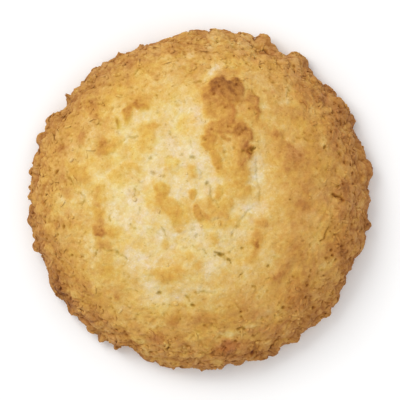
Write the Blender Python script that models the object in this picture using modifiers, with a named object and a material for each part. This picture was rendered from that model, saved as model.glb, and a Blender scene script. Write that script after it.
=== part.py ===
"""Coconut macaroon.

One baked piece: a low dome with a steep, knobbly shoulder that tucks in to a
flat base.  +Z is up, +Y is the far side, and the origin is the middle of the
flat base.  Sizes below are in millimetres.
"""
import math

import bmesh
import bpy
from mathutils import Vector, noise

MM = 0.001

# ---- driving dimensions, mm -------------------------------------------------
RIM_RADIUS = 34.35       # mean radius at the widest level
RIM_LEVEL = 2.7          # height of the widest level
DOME_HEIGHT = 18.6       # top of the smooth dome above the base
FOOT_RADIUS = 33.5       # radius of the flat base
FOOT_ROUND = 0.5         # height of the small curl where the foot lifts off
DOME_POWER = 2.45        # plan fullness of the dome (2 is an ellipse)
CROWN_POWER = 1.72       # height fullness of the dome (2 is an ellipse)

SEGMENTS = 150           # facets round the axis
DOME_RINGS = 20          # rings from the crown down to the widest level

LUMP_SIZE = 9.0          # typical spacing of the broad lumps
LUMP_HEIGHT = 0.38       # how far they stand up or sink
KNOB_SIZE = 4.2          # spacing of the small lumps of mixture
KNOB_HEIGHT = 0.20
SIDE_LUMP = 0.40         # how far the side wall wanders in and out

# Nubs of mixture round the rim: bearing from +X (degrees, anticlockwise),
# reach beyond the mean radius (mm, minus for a hollow), half width (degrees).
NUBS = (
    (10.5, 1.3, 4.2), (17.5, 0.5, 3.5), (30.0, 1.25, 5.5), (39.5, 0.8, 4.0),
    (55.0, 1.75, 5.2), (68.8, 1.7, 3.2), (75.0, 0.8, 3.6), (84.0, 0.6, 5.5),
    (105.0, -1.0, 7.0), (116.0, -0.6, 5.0), (119.0, 0.7, 2.4),
    (141.7, 1.1, 2.8), (145.5, -1.1, 4.2), (152.5, 1.0, 4.0),
    (159.0, 1.35, 4.2), (170.0, 0.9, 5.5), (186.5, 1.1, 4.5),
    (195.5, 1.0, 3.6), (211.0, 0.8, 5.0), (220.0, 0.7, 3.2),
    (231.5, 1.0, 4.6), (244.0, -0.95, 4.2), (260.0, 0.7, 3.2),
    (273.5, 0.55, 4.2), (294.0, 0.8, 4.2), (304.5, 0.7, 3.0),
    (318.0, 0.85, 3.4), (335.0, -0.75, 5.5), (351.5, 0.8, 3.0),
)

# Mounds and hollows of the top: centre x, y, half sizes along and across,
# bearing of the long axis (degrees), height (mm, minus for a hollow).
MOUNDS = (
    (5.3, 22.6, 4.6, 2.9, 0.0, 1.10),       # cap of the browned ridge
    (6.0, 15.5, 6.6, 5.4, 90.0, 0.75),      # its body
    (5.4, 12.4, 5.4, 3.2, 10.0, 0.55),      # its second swelling
    (-4.5, 17.0, 6.0, 3.2, 80.0, -0.55),    # trough left of the ridge
    (12.2, 3.6, 7.5, 2.6, 78.0, -0.60),     # trough right of the ridge
    (-5.5, -1.5, 6.5, 3.6, -38.0, 0.55),    # swelling in the middle
    (-14.5, -1.0, 5.5, 4.2, 75.0, -0.35),   # pale hollow beside it
    (-19.5, 11.0, 4.5, 3.6, 20.0, 0.40),
    (-13.5, 18.5, 5.2, 3.2, 40.0, 0.45),
    (22.5, 7.0, 6.5, 5.0, 70.0, 0.45),
    (20.0, -12.5, 6.5, 4.5, -50.0, 0.40),
    (-3.0, -15.0, 7.0, 4.0, 0.0, 0.35),
    (-19.0, -9.0, 4.5, 3.5, 90.0, 0.35),
    (4.5, -9.5, 5.0, 1.8, -28.0, -0.40),
)

# The shelf along the far right shoulder, where the skin folded over itself.
SHELF_BEARING = 68.0     # middle of the fold
SHELF_SPREAD = 17.0      # half length of the fold, degrees
SHELF_RADIUS = 31.3      # radius that it runs along
SHELF_DEPTH = 0.55       # depth of the fold

BROWNED = (0.53, 0.31, 0.115, 1.0)


def bell(distance, reach):
    """1 in the middle, falling smoothly to 0 at reach."""
    if abs(distance) >= reach:
        return 0.0
    return 0.5 * (1.0 + math.cos(math.pi * distance / reach))


def smooth(low, high, value):
    t = min(1.0, max(0.0, (value - low) / (high - low)))
    return t * t * (3.0 - 2.0 * t)


def turn(a, b):
    """Signed difference between two bearings, degrees."""
    return (a - b + 180.0) % 360.0 - 180.0


def dome_profile():
    """Outer side from the crown to the foot, then in along the base."""
    points = []
    rise = DOME_HEIGHT - RIM_LEVEL
    for k in range(DOME_RINGS + 1):
        a = 0.5 * math.pi * k / DOME_RINGS
        r = RIM_RADIUS * math.sin(a) ** (2.0 / DOME_POWER)
        z = RIM_LEVEL + rise * max(0.0, math.cos(a)) ** (2.0 / CROWN_POWER)
        points.append((r, z))
    points[0] = (0.0, DOME_HEIGHT)
    points[-1] = (RIM_RADIUS, RIM_LEVEL)
    tuck = RIM_RADIUS - FOOT_RADIUS
    points.append((RIM_RADIUS - 0.22 * tuck, 0.55 * RIM_LEVEL))
    points.append((FOOT_RADIUS + 0.30 * tuck, FOOT_ROUND))
    points.append((FOOT_RADIUS, 0.0))
    points += [(0.66 * FOOT_RADIUS, 0.0), (0.30 * FOOT_RADIUS, 0.0),
               (0.0, 0.0)]
    return points


def rim_reach(bearing, z):
    """How far the wall stands beyond the smooth dome at a bearing and level.

    A nub is about as tall as it is wide, and sits a little above the widest
    level; how much above goes by its place in the table.
    """
    reach = 0.0
    for index, (place, height, width) in enumerate(NUBS):
        spread = bell(turn(bearing, place), width)
        if spread > 0.0:
            centre = RIM_LEVEL + 0.45 * (index * 7 % 5)
            tall = 2.0 + 2.6 * math.radians(width) * RIM_RADIUS / 2.0
            below = 4.0 if z < centre else tall
            reach += height * spread * bell(z - centre, max(below, 3.0))
    a = math.radians(bearing)
    reach += 0.22 * math.cos(a - 3.3) + 0.12 * math.cos(2.0 * a + 0.6)
    reach += 0.10 * math.sin(5.0 * a + 1.0)
    return reach


def mound_height(x, y):
    total = 0.0
    for cx, cy, along, across, bearing, height in MOUNDS:
        c = math.cos(math.radians(bearing))
        s = math.sin(math.radians(bearing))
        dx, dy = x - cx, y - cy
        u = (dx * c + dy * s) / along
        v = (-dx * s + dy * c) / across
        total += height * math.exp(-1.2 * (u * u + v * v))
    return total


def lump(x, y, z, size, seed):
    return noise.noise(Vector((x / size + seed, y / size - 2.0 * seed,
                               z / size + 0.5 * seed)))


def shape_point(x, y, z):
    """Moves one point of the smooth turned dome to the baked shape."""
    r = math.hypot(x, y)
    if r < 1e-6:
        if z < 1e-6:
            return x, y, z
        return x, y, z + mound_height(x, y) + LUMP_HEIGHT * lump(
            x, y, z, LUMP_SIZE, 11.3)
    bearing = math.degrees(math.atan2(y, x))
    out = smooth(0.80, 1.0, r / RIM_RADIUS)
    push = rim_reach(bearing, z) * out * bell(z - RIM_LEVEL, 9.0)
    side = SIDE_LUMP * lump(x, y, 2.2 * z, 4.6, 5.7) * smooth(0.9, 1.0,
                                                              r / RIM_RADIUS)
    if z < 1e-6:
        # base: the edge wanders with the wall, the middle stays put
        edge = smooth(0.75, 0.95, r / RIM_RADIUS)
        push = rim_reach(bearing, 0.0) * edge
        side = 1.3 * SIDE_LUMP * lump(x, y, 0.0, 5.2, 8.9) * edge
    fold = bell(turn(bearing, SHELF_BEARING), SHELF_SPREAD)
    fold *= math.exp(-((r - SHELF_RADIUS) / 1.1) ** 2)
    grow = (r + push + side) / r
    top = smooth(RIM_LEVEL, RIM_LEVEL + 5.0, z)
    lift = top * (mound_height(x, y)
                  + LUMP_HEIGHT * lump(x, y, z, LUMP_SIZE, 11.3) * 2.0
                  + KNOB_HEIGHT * lump(x, y, z, KNOB_SIZE, 3.1) * 2.0
                  - SHELF_DEPTH * fold)
    return x * grow, y * grow, z + lift


def browned_crust():
    material = bpy.data.materials.new("baked_coconut")
    material.use_nodes = True
    shader = material.node_tree.nodes["Principled BSDF"]
    shader.inputs["Base Color"].default_value = BROWNED
    shader.inputs["Roughness"].default_value = 0.78
    shader.inputs["Metallic"].default_value = 0.0
    return material


def turned_dome(collection):
    """The dome as an open profile spun by a Screw modifier."""
    mesh = bpy.data.meshes.new("macaroon_profile")
    points = [(r * MM, 0.0, z * MM) for r, z in dome_profile()]
    mesh.from_pydata(points, [(i, i + 1) for i in range(len(points) - 1)], [])
    spun = bpy.data.objects.new("macaroon_profile", mesh)
    collection.objects.link(spun)
    screw = spun.modifiers.new("turned", "SCREW")
    screw.axis = "Z"
    screw.angle = 2.0 * math.pi
    screw.steps = SEGMENTS
    screw.render_steps = SEGMENTS
    screw.use_merge_vertices = True
    screw.merge_threshold = 1e-5
    return spun


def build():
    for old in list(bpy.data.objects):
        bpy.data.objects.remove(old, do_unlink=True)
    collection = bpy.data.collections.new("coconut_macaroon")
    bpy.context.scene.collection.children.link(collection)

    spun = turned_dome(collection)
    bpy.context.view_layer.update()
    depsgraph = bpy.context.evaluated_depsgraph_get()
    mesh = bpy.data.meshes.new_from_object(spun.evaluated_get(depsgraph))
    mesh.name = "macaroon"
    bpy.data.objects.remove(spun, do_unlink=True)

    body = bmesh.new()
    body.from_mesh(mesh)
    bmesh.ops.remove_doubles(body, verts=body.verts, dist=1e-6)
    for vertex in body.verts:
        x, y, z = (c / MM for c in vertex.co)
        if z < 1e-4:
            z = 0.0
        x, y, z = shape_point(x, y, z)
        vertex.co = Vector((x, y, z)) * MM
    bmesh.ops.triangulate(body, faces=body.faces)
    bmesh.ops.recalc_face_normals(body, faces=body.faces)
    body.to_mesh(mesh)
    body.free()
    mesh.shade_smooth()
    mesh.set_sharp_from_angle(angle=math.radians(55.0))

    macaroon = bpy.data.objects.new("macaroon", mesh)
    mesh.materials.clear()
    mesh.materials.append(browned_crust())
    collection.objects.link(macaroon)


build()
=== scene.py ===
"""Looks of the coconut macaroon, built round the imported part.

The crust is one closed mesh: rings from the crown down the side and in along
the base, moved by functions of bearing and level into nubs, mounds, crumbs,
cracks and pits.  A few loose shreds and crumbs of coconut are pieces of their
own.  Millimetres inside the shape functions, metres in the meshes.
"""
import math

import bmesh
import bpy
import numpy as np
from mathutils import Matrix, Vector, kdtree


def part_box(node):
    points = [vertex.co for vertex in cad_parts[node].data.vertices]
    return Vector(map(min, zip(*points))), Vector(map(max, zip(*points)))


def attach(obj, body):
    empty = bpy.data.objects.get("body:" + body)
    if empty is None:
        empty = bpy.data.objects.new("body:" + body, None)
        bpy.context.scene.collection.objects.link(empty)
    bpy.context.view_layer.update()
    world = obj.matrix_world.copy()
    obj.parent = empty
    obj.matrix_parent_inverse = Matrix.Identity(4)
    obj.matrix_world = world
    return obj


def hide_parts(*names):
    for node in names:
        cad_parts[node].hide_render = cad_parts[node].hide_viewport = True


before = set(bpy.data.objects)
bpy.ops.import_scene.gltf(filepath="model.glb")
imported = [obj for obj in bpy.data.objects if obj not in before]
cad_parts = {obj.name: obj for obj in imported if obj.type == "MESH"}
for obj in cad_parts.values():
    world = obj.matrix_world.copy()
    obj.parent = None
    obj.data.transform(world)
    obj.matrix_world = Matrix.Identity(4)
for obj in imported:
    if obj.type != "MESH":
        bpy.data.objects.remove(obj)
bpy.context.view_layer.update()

MM = 0.001
NODE = "macaroon"

# ---- sizes, all from the box of the CAD part, mm ------------------------------
low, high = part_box(NODE)
ACROSS = 0.5 * ((high[0] - low[0]) + (high[1] - low[1])) / MM
TALL = (high[2] - low[2]) / MM
BASE_Z = low[2] / MM
RIM_RADIUS = 0.4925 * ACROSS     # mean radius at the widest level
DOME_HEIGHT = 0.962 * TALL       # smooth dome, before its lumps
RIM_LEVEL = 2.7
FOOT_RADIUS = RIM_RADIUS - 0.85
DOME_POWER = 2.45
CROWN_POWER = 1.72

SPACING_TOP = 0.270              # mesh spacing on everything that shows, mm
SPACING_BASE = 0.75              # and on the flat underside
CAMERA_AWAY = 800.0              # the camera above the rim, mm
SHORT_Y = 1.010                  # how much too near the middle the marks below are given in y


# ---- seeded noise ---------------------------------------------------------------
def mixed(ix, iy, iz, seed):
    """A well mixed whole number for each lattice point."""
    h = (ix.astype(np.uint32) * np.uint32(0x8DA6B343)
         ^ iy.astype(np.uint32) * np.uint32(0xD8163841)
         ^ iz.astype(np.uint32) * np.uint32(0xCB1AB31F)
         ^ np.uint32((seed * 0x9E3779B1) & 0xFFFFFFFF))
    h ^= h >> np.uint32(15)
    h *= np.uint32(0x2C1B3C6D)
    h ^= h >> np.uint32(12)
    h *= np.uint32(0x297A2D39)
    h ^= h >> np.uint32(15)
    return h


def part_of(h, shift):
    return ((h >> np.uint32(shift)) & np.uint32(0x3FF)).astype(np.float64) / 1023.0


def noise(p, size, seed):
    """Gradient noise at points p (n, 3), about -1 to 1, with one bump every size mm."""
    q = p / size + seed * np.array([0.37, 0.71, 0.53])
    cell = np.floor(q).astype(np.int64)
    f = q - cell
    w = f * f * f * (f * (f * 6.0 - 15.0) + 10.0)
    total = np.zeros(len(p))
    for dx in (0, 1):
        for dy in (0, 1):
            for dz in (0, 1):
                h = mixed(cell[:, 0] + dx, cell[:, 1] + dy, cell[:, 2] + dz, seed)
                dot = ((part_of(h, 0) - 0.5) * (f[:, 0] - dx)
                       + (part_of(h, 10) - 0.5) * (f[:, 1] - dy)
                       + (part_of(h, 20) - 0.5) * (f[:, 2] - dz))
                weight = ((w[:, 0] if dx else 1 - w[:, 0])
                          * (w[:, 1] if dy else 1 - w[:, 1])
                          * (w[:, 2] if dz else 1 - w[:, 2]))
                total += weight * dot
    return total * 2.6


def layered(p, size, seed, layers=3, fall=0.5):
    total, weight, whole = np.zeros(len(p)), 1.0, 0.0
    for k in range(layers):
        total += weight * noise(p, size / 2.0 ** k, seed + 17 * k)
        whole += weight
        weight *= fall
    return total / whole


def cells(p, size, seed):
    """Distances to the nearest and second nearest of scattered points, in
    units of size, and a number from 0 to 1 for the nearest one."""
    q = p / size + seed * np.array([0.61, 0.29, 0.83])
    base = np.floor(q).astype(np.int64)
    first = np.full(len(p), 9.0)
    second = np.full(len(p), 9.0)
    own = np.zeros(len(p))
    for dx in (-1, 0, 1):
        for dy in (-1, 0, 1):
            for dz in (-1, 0, 1):
                ix, iy, iz = base[:, 0] + dx, base[:, 1] + dy, base[:, 2] + dz
                h = mixed(ix, iy, iz, seed)
                d = np.sqrt((ix + part_of(h, 0) - q[:, 0]) ** 2
                            + (iy + part_of(h, 10) - q[:, 1]) ** 2
                            + (iz + part_of(h, 20) - q[:, 2]) ** 2)
                nearer = d < first
                second = np.where(nearer, first, np.minimum(second, d))
                own = np.where(nearer, part_of(h, 5), own)
                first = np.where(nearer, d, first)
    return first, second, own


def flakes(p, size, seed, blur=0.16):
    """Flat patches of scattered cells, each with its own number from -1 to 1,
    that run into each other over a narrow edge."""
    q = p / size + seed * np.array([0.43, 0.91, 0.17])
    base = np.floor(q).astype(np.int64)
    total = np.zeros(len(p))
    whole = np.full(len(p), 1e-12)
    for dx in (-1, 0, 1):
        for dy in (-1, 0, 1):
            for dz in (-1, 0, 1):
                ix, iy, iz = base[:, 0] + dx, base[:, 1] + dy, base[:, 2] + dz
                h = mixed(ix, iy, iz, seed)
                d = ((ix + part_of(h, 0) - q[:, 0]) ** 2
                     + (iy + part_of(h, 10) - q[:, 1]) ** 2
                     + (iz + part_of(h, 20) - q[:, 2]) ** 2)
                weight = np.exp(-d / blur)
                total += weight * (2.0 * part_of(h, 7) - 1.0)
                whole += weight
    return total / whole


def smooth(a, b, x):
    t = np.clip((x - a) / (b - a), 0.0, 1.0)
    return t * t * (3.0 - 2.0 * t)


def bell(d, reach):
    return np.where(np.abs(d) < reach, 0.5 + 0.5 * np.cos(np.pi * d / reach), 0.0)


def turn(a, b):
    """Signed difference of two bearings, degrees."""
    return (a - b + 180.0) % 360.0 - 180.0


# ---- the turned dome ---------------------------------------------------------------
def dome_outline():
    """Fine outline from the crown to the foot and in to the middle of the base."""
    a = np.linspace(0.0, 0.5 * np.pi, 1500)
    r = RIM_RADIUS * np.sin(a) ** (2.0 / DOME_POWER)
    z = RIM_LEVEL + (DOME_HEIGHT - RIM_LEVEL) * np.clip(np.cos(a), 0, 1) ** (2.0 / CROWN_POWER)
    tuck = RIM_RADIUS - FOOT_RADIUS
    b = np.linspace(0.0, 1.0, 160)[1:]
    r_side = RIM_RADIUS - tuck * (0.35 * b ** 1.3 + 0.65 * b ** 5)
    z_side = RIM_LEVEL * (1.0 - b ** 0.9)
    c = np.linspace(FOOT_RADIUS, 0.0, 600)[1:]
    r = np.concatenate([r, r_side, c])
    z = np.concatenate([z, z_side, np.zeros(len(c))])
    s = np.concatenate([[0.0], np.cumsum(np.hypot(np.diff(r), np.diff(z)))])
    return r, z, s


OUT_R, OUT_Z, OUT_S = dome_outline()
FOOT_S = OUT_S[1500 + 159 - 1]          # length from the crown to the foot
RIM_S = OUT_S[1499]                     # and to the widest level


def length_at(r):
    """Length down the dome from the crown at which it has radius r."""
    return np.interp(np.minimum(r, RIM_RADIUS - 0.05), OUT_R[:1500], OUT_S[:1500])


def spread_xy(x, y):
    """A place seen from above, in the flattened-out skin of the dome."""
    r = np.hypot(x, y)
    k = length_at(r) / np.maximum(r, 1e-9)
    return x * k, y * k


def rings():
    """Smooth rings: for each point its length s down the outline and bearing,
    and the triangles between them."""
    s_places = [0.0]
    s = 0.0
    while s < FOOT_S - 0.5 * SPACING_TOP:
        s += SPACING_TOP * 0.87
        s_places.append(min(s, FOOT_S))
    s = s_places[-1] = FOOT_S
    step = SPACING_TOP
    end = OUT_S[-1]
    while s + step < end - 0.6 * SPACING_BASE:
        s += step
        step = min(SPACING_BASE * 0.87, step * 1.35)
        s_places.append(s)
    s_places.append(end)
    points, counts, offsets = [], [], []
    for k, s in enumerate(s_places):
        r = np.interp(s, OUT_S, OUT_R)
        gap = SPACING_TOP if s <= FOOT_S else max(
            SPACING_TOP, (s - s_places[k - 1]) / 0.87)
        count = 1 if k in (0, len(s_places) - 1) else max(6, round(2 * np.pi * r / gap))
        counts.append(count)
        offsets.append(0.5 * (k % 2))
        angles = (np.arange(count) + offsets[-1]) / count * 2.0 * np.pi
        points.append(np.stack([np.full(count, s), angles], 1))
    starts = np.concatenate([[0], np.cumsum(counts)])
    triangles = []
    for k in range(len(counts) - 1):
        na, nb, a0, b0 = counts[k], counts[k + 1], starts[k], starts[k + 1]
        if na == 1:
            triangles += [(a0, b0 + j, b0 + (j + 1) % nb) for j in range(nb)]
            continue
        if nb == 1:
            triangles += [(a0 + (j + 1) % na, a0 + j, b0) for j in range(na)]
            continue
        i = j = 0
        oa, ob = offsets[k], offsets[k + 1]
        while i < na or j < nb:
            if j >= nb or (i < na and (i + 1 + oa) / na <= (j + 1 + ob) / nb):
                triangles.append((a0 + (i + 1) % na, a0 + i % na, b0 + j % nb))
                i += 1
            else:
                triangles.append((a0 + i % na, b0 + j % nb, b0 + (j + 1) % nb))
                j += 1
    return np.concatenate(points), np.array(triangles), starts


ring_points, triangles, ring_starts = rings()
S, A = ring_points[:, 0], ring_points[:, 1]
R0 = np.interp(S, OUT_S, OUT_R)
Z0 = np.interp(S, OUT_S, OUT_Z)
BEARING = np.degrees(A)
COS, SIN = np.cos(A), np.sin(A)
P0 = np.stack([R0 * COS, R0 * SIN, Z0], 1)
on_top = S <= FOOT_S + 1e-6
under = ~on_top
h = 0.3
dr = np.interp(np.minimum(S + h, OUT_S[-1]), OUT_S, OUT_R) - np.interp(np.maximum(S - h, 0), OUT_S, OUT_R)
dz = np.interp(np.minimum(S + h, OUT_S[-1]), OUT_S, OUT_Z) - np.interp(np.maximum(S - h, 0), OUT_S, OUT_Z)
size = np.hypot(dr, dz)
NR, NZ = -dz / size, dr / size
NR, NZ = np.where(S < h, 0.0, NR), np.where(S < h, 1.0, NZ)
N0 = np.stack([NR * COS, NR * SIN, NZ], 1)
U, V = S * COS, S * SIN                 # the flattened-out skin
print("crust", len(S), "points", len(triangles), "triangles")
crown = smooth(RIM_LEVEL, RIM_LEVEL + 5.0, Z0) * on_top
rolling = crown * (0.30 * noise(P0, 9.0, 3) + 0.20 * noise(P0, 4.4, 5))


def plan_of(lift):
    """Where the camera sees each skin point, mm at the scale of the rim, when it
    stands that far off the smooth dome, and the same places as a tree."""
    k = CAMERA_AWAY / (CAMERA_AWAY - (Z0 + lift * N0[:, 2] - RIM_LEVEL))
    x, y = (P0[:, 0] + lift * N0[:, 0]) * k, (P0[:, 1] + lift * N0[:, 1]) * k / SHORT_Y
    shown = np.nonzero(on_top & (Z0 >= RIM_LEVEL))[0]
    places = kdtree.KDTree(len(shown))
    for i in shown:
        places.insert((x[i], y[i], 0.0), int(i))
    places.balance()
    return x, y, places


plan = plan_of(rolling)


def on_dome(x, y):
    """The place on the smooth dome that the camera sees at x, y."""
    i = plan[2].find((x, y, 0.0))[1]
    return x - (plan[0][i] - P0[i, 0]), y - (plan[1][i] - P0[i, 1])


# ---- rim ------------------------------------------------------------------------------
# Where the rim falls in: bearing (degrees from +X, anticlockwise), depth mm,
# half width degrees.
HOLLOWS = (
    (61.0, -0.3, 2.6), (98.5, -0.3, 5.0), (106.0, -1.1, 10.0), (115.5, -0.95, 7.0), (124.0, -0.5, 9.0),
    (136.0, -0.6, 9.0), (145.7, -1.2, 7.0), (202.5, -0.28, 4.5), (244.6, -1.05, 4.6),
    (248.0, -0.5, 3.5), (279.8, -0.45, 2.0), (299.6, -0.3, 2.4), (309.0, -0.2, 3.0),
    (328.0, -0.25, 3.0), (333.4, -0.75, 4.0), (338.6, -0.6, 3.4), (349.0, -0.2, 1.2),
    (355.5, -0.2, 3.0), (4.0, -0.25, 1.4), (180.5, -0.3, 1.2), (198.5, -0.3, 1.2), (242.6, -0.3, 1.2),
    (255.0, -0.3, 1.4), (286.0, -0.3, 1.4), (290.0, -0.25, 1.2), (306.5, -0.3, 1.2), (336.5, -0.25, 1.6), (244.2, -0.35, 2.4), (154.0, -0.3, 0.9), (19.0, -0.2, 1.0), (281.0, -0.25, 1.0), (320.0, -0.2, 1.2),
    (330.0, -0.12, 24.0), (270.0, -0.10, 16.0),
)
# Nubs round the rim: bearing, reach mm, half width degrees, fullness (under 1
# a thorn, 3 a flat-topped knob), how tall mm.
NUBS = (
    (0.0, 0.50, 1.6, 1.0, 2.0), (5.2, 0.20, 1.6, 2.0, 2.0), (10.4, 1.32, 4.4, 3.0, 4.0),
    (17.0, 0.57, 5.2, 3.0, 3.0), (28.4, 1.32, 3.4, 2.4, 4.0), (33.2, 1.16, 5.0, 3.0, 3.0),
    (39.6, 0.80, 3.8, 3.2, 3.0), (50.0, 0.55, 2.0, 1.5, 3.0), (54.8, 1.75, 4.4, 4.5, 5.0),
    (64.8, 0.75, 2.2, 2.0, 3.0), (68.3, 1.95, 3.1, 3.0, 2.5), (74.3, 0.95, 3.8, 3.0, 3.0),
    (82.4, 0.60, 4.6, 3.6, 3.0), (85.2, 0.68, 1.9, 2.0, 2.0), (91.0, 0.36, 3.2, 1.4, 2.0),
    (111.0, 0.58, 1.2, 0.9, 2.0), (118.8, 0.85, 1.7, 0.9, 2.0), (125.2, 0.50, 1.3, 0.9, 2.0),
    (129.2, 0.30, 2.4, 2.0, 2.0), (135.0, 0.50, 1.2, 0.9, 1.5), (138.7, 0.40, 1.3, 0.9, 1.5),
    (142.0, 1.60, 1.3, 0.9, 2.0), (143.1, 0.72, 1.6, 1.2, 2.0), (151.5, 1.00, 4.9, 2.2, 4.0), (159.0, 1.25, 3.0, 2.6, 3.0),
    (166.2, 0.56, 3.2, 2.4, 2.0), (170.3, 1.00, 2.0, 1.6, 2.0), (173.0, 0.25, 3.0, 3.0, 2.0), (175.8, 0.76, 1.5, 1.2, 2.0),
    (178.9, 0.66, 2.2, 1.8, 2.0), (184.5, 0.56, 3.6, 3.0, 2.0), (187.0, 1.10, 3.2, 1.6, 3.0),
    (191.5, 0.40, 3.0, 3.0, 2.0), (196.0, 1.02, 2.5, 3.0, 3.0), (211.5, 0.80, 5.0, 2.6, 4.0),
    (214.6, 0.66, 2.0, 2.0, 2.0), (220.8, 0.85, 3.0, 1.5, 3.0), (225.5, 0.30, 3.0, 2.0, 2.0),
    (230.2, 0.76, 2.8, 1.6, 3.0), (234.6, 1.10, 1.9, 2.0, 2.0), (240.6, 0.80, 1.4, 2.2, 2.0),
    (251.0, 0.10, 2.0, 2.0, 2.0), (256.8, 0.42, 1.6, 1.2, 2.0), (259.5, 0.40, 2.4, 2.0, 2.0),
    (261.0, 0.60, 1.4, 0.9, 2.0), (271.0, 0.57, 1.5, 1.2, 2.0), (273.5, 0.38, 2.6, 3.0, 2.0),
    (277.0, 0.55, 1.4, 1.2, 2.0), (283.2, 0.22, 1.8, 2.0, 2.0), (291.6, 0.66, 3.2, 2.4, 3.0),
    (295.7, 0.84, 2.4, 2.2, 3.0), (304.6, 0.74, 2.4, 1.6, 3.0), (314.2, 0.48, 3.6, 2.2, 3.0),
    (318.4, 1.10, 2.6, 2.2, 3.0), (321.5, 0.42, 2.0, 2.0, 2.0), (323.8, 0.54, 2.8, 2.2, 2.0), (344.8, 0.42, 3.6, 2.0, 3.0),
    (347.0, 0.33, 1.6, 2.0, 2.0), (351.5, 0.90, 2.2, 2.0, 3.0),
)


def hollow_reach(bearing):
    reach = np.zeros(len(bearing))
    for place, depth, width in HOLLOWS:
        reach += depth * bell(turn(bearing, place), width)
    return reach


def nub_shape(d, width, full):
    return 1.0 - np.minimum(np.abs(d) / width, 1.0) ** full


def rim_outline(bearing):
    """Radius of the outline seen from above."""
    nub = np.zeros(len(bearing))
    for place, reach, width, full, tall in NUBS:
        nub = np.maximum(nub, reach * nub_shape(turn(bearing, place), width, full))
    return RIM_RADIUS + hollow_reach(bearing) + nub


def rim_push(bearing, z):
    """How far the wall stands out beyond the smooth dome."""
    nub = np.zeros(len(bearing))
    for k, (place, reach, width, full, tall) in enumerate(NUBS):
        mid = RIM_LEVEL - 0.9 + 0.55 * (k * 7 % 4)
        lean = 1.1 * ((k * 5) % 7 - 3) / 3.0            # degrees for each mm up
        d = turn(bearing, place + lean * (z - mid))
        near = np.abs(d) < width * 1.05
        if not near.any():
            continue
        zz = z[near] - mid
        level = np.where(zz > 0, bell(zz, 1.15 * tall + 0.6), bell(zz, 2.6))
        nub[near] = np.maximum(nub[near], reach * nub_shape(d[near], width, full) * level)
    hollow = hollow_reach(bearing) * bell(z - RIM_LEVEL + 0.5, 8.5)
    return hollow + nub


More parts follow.
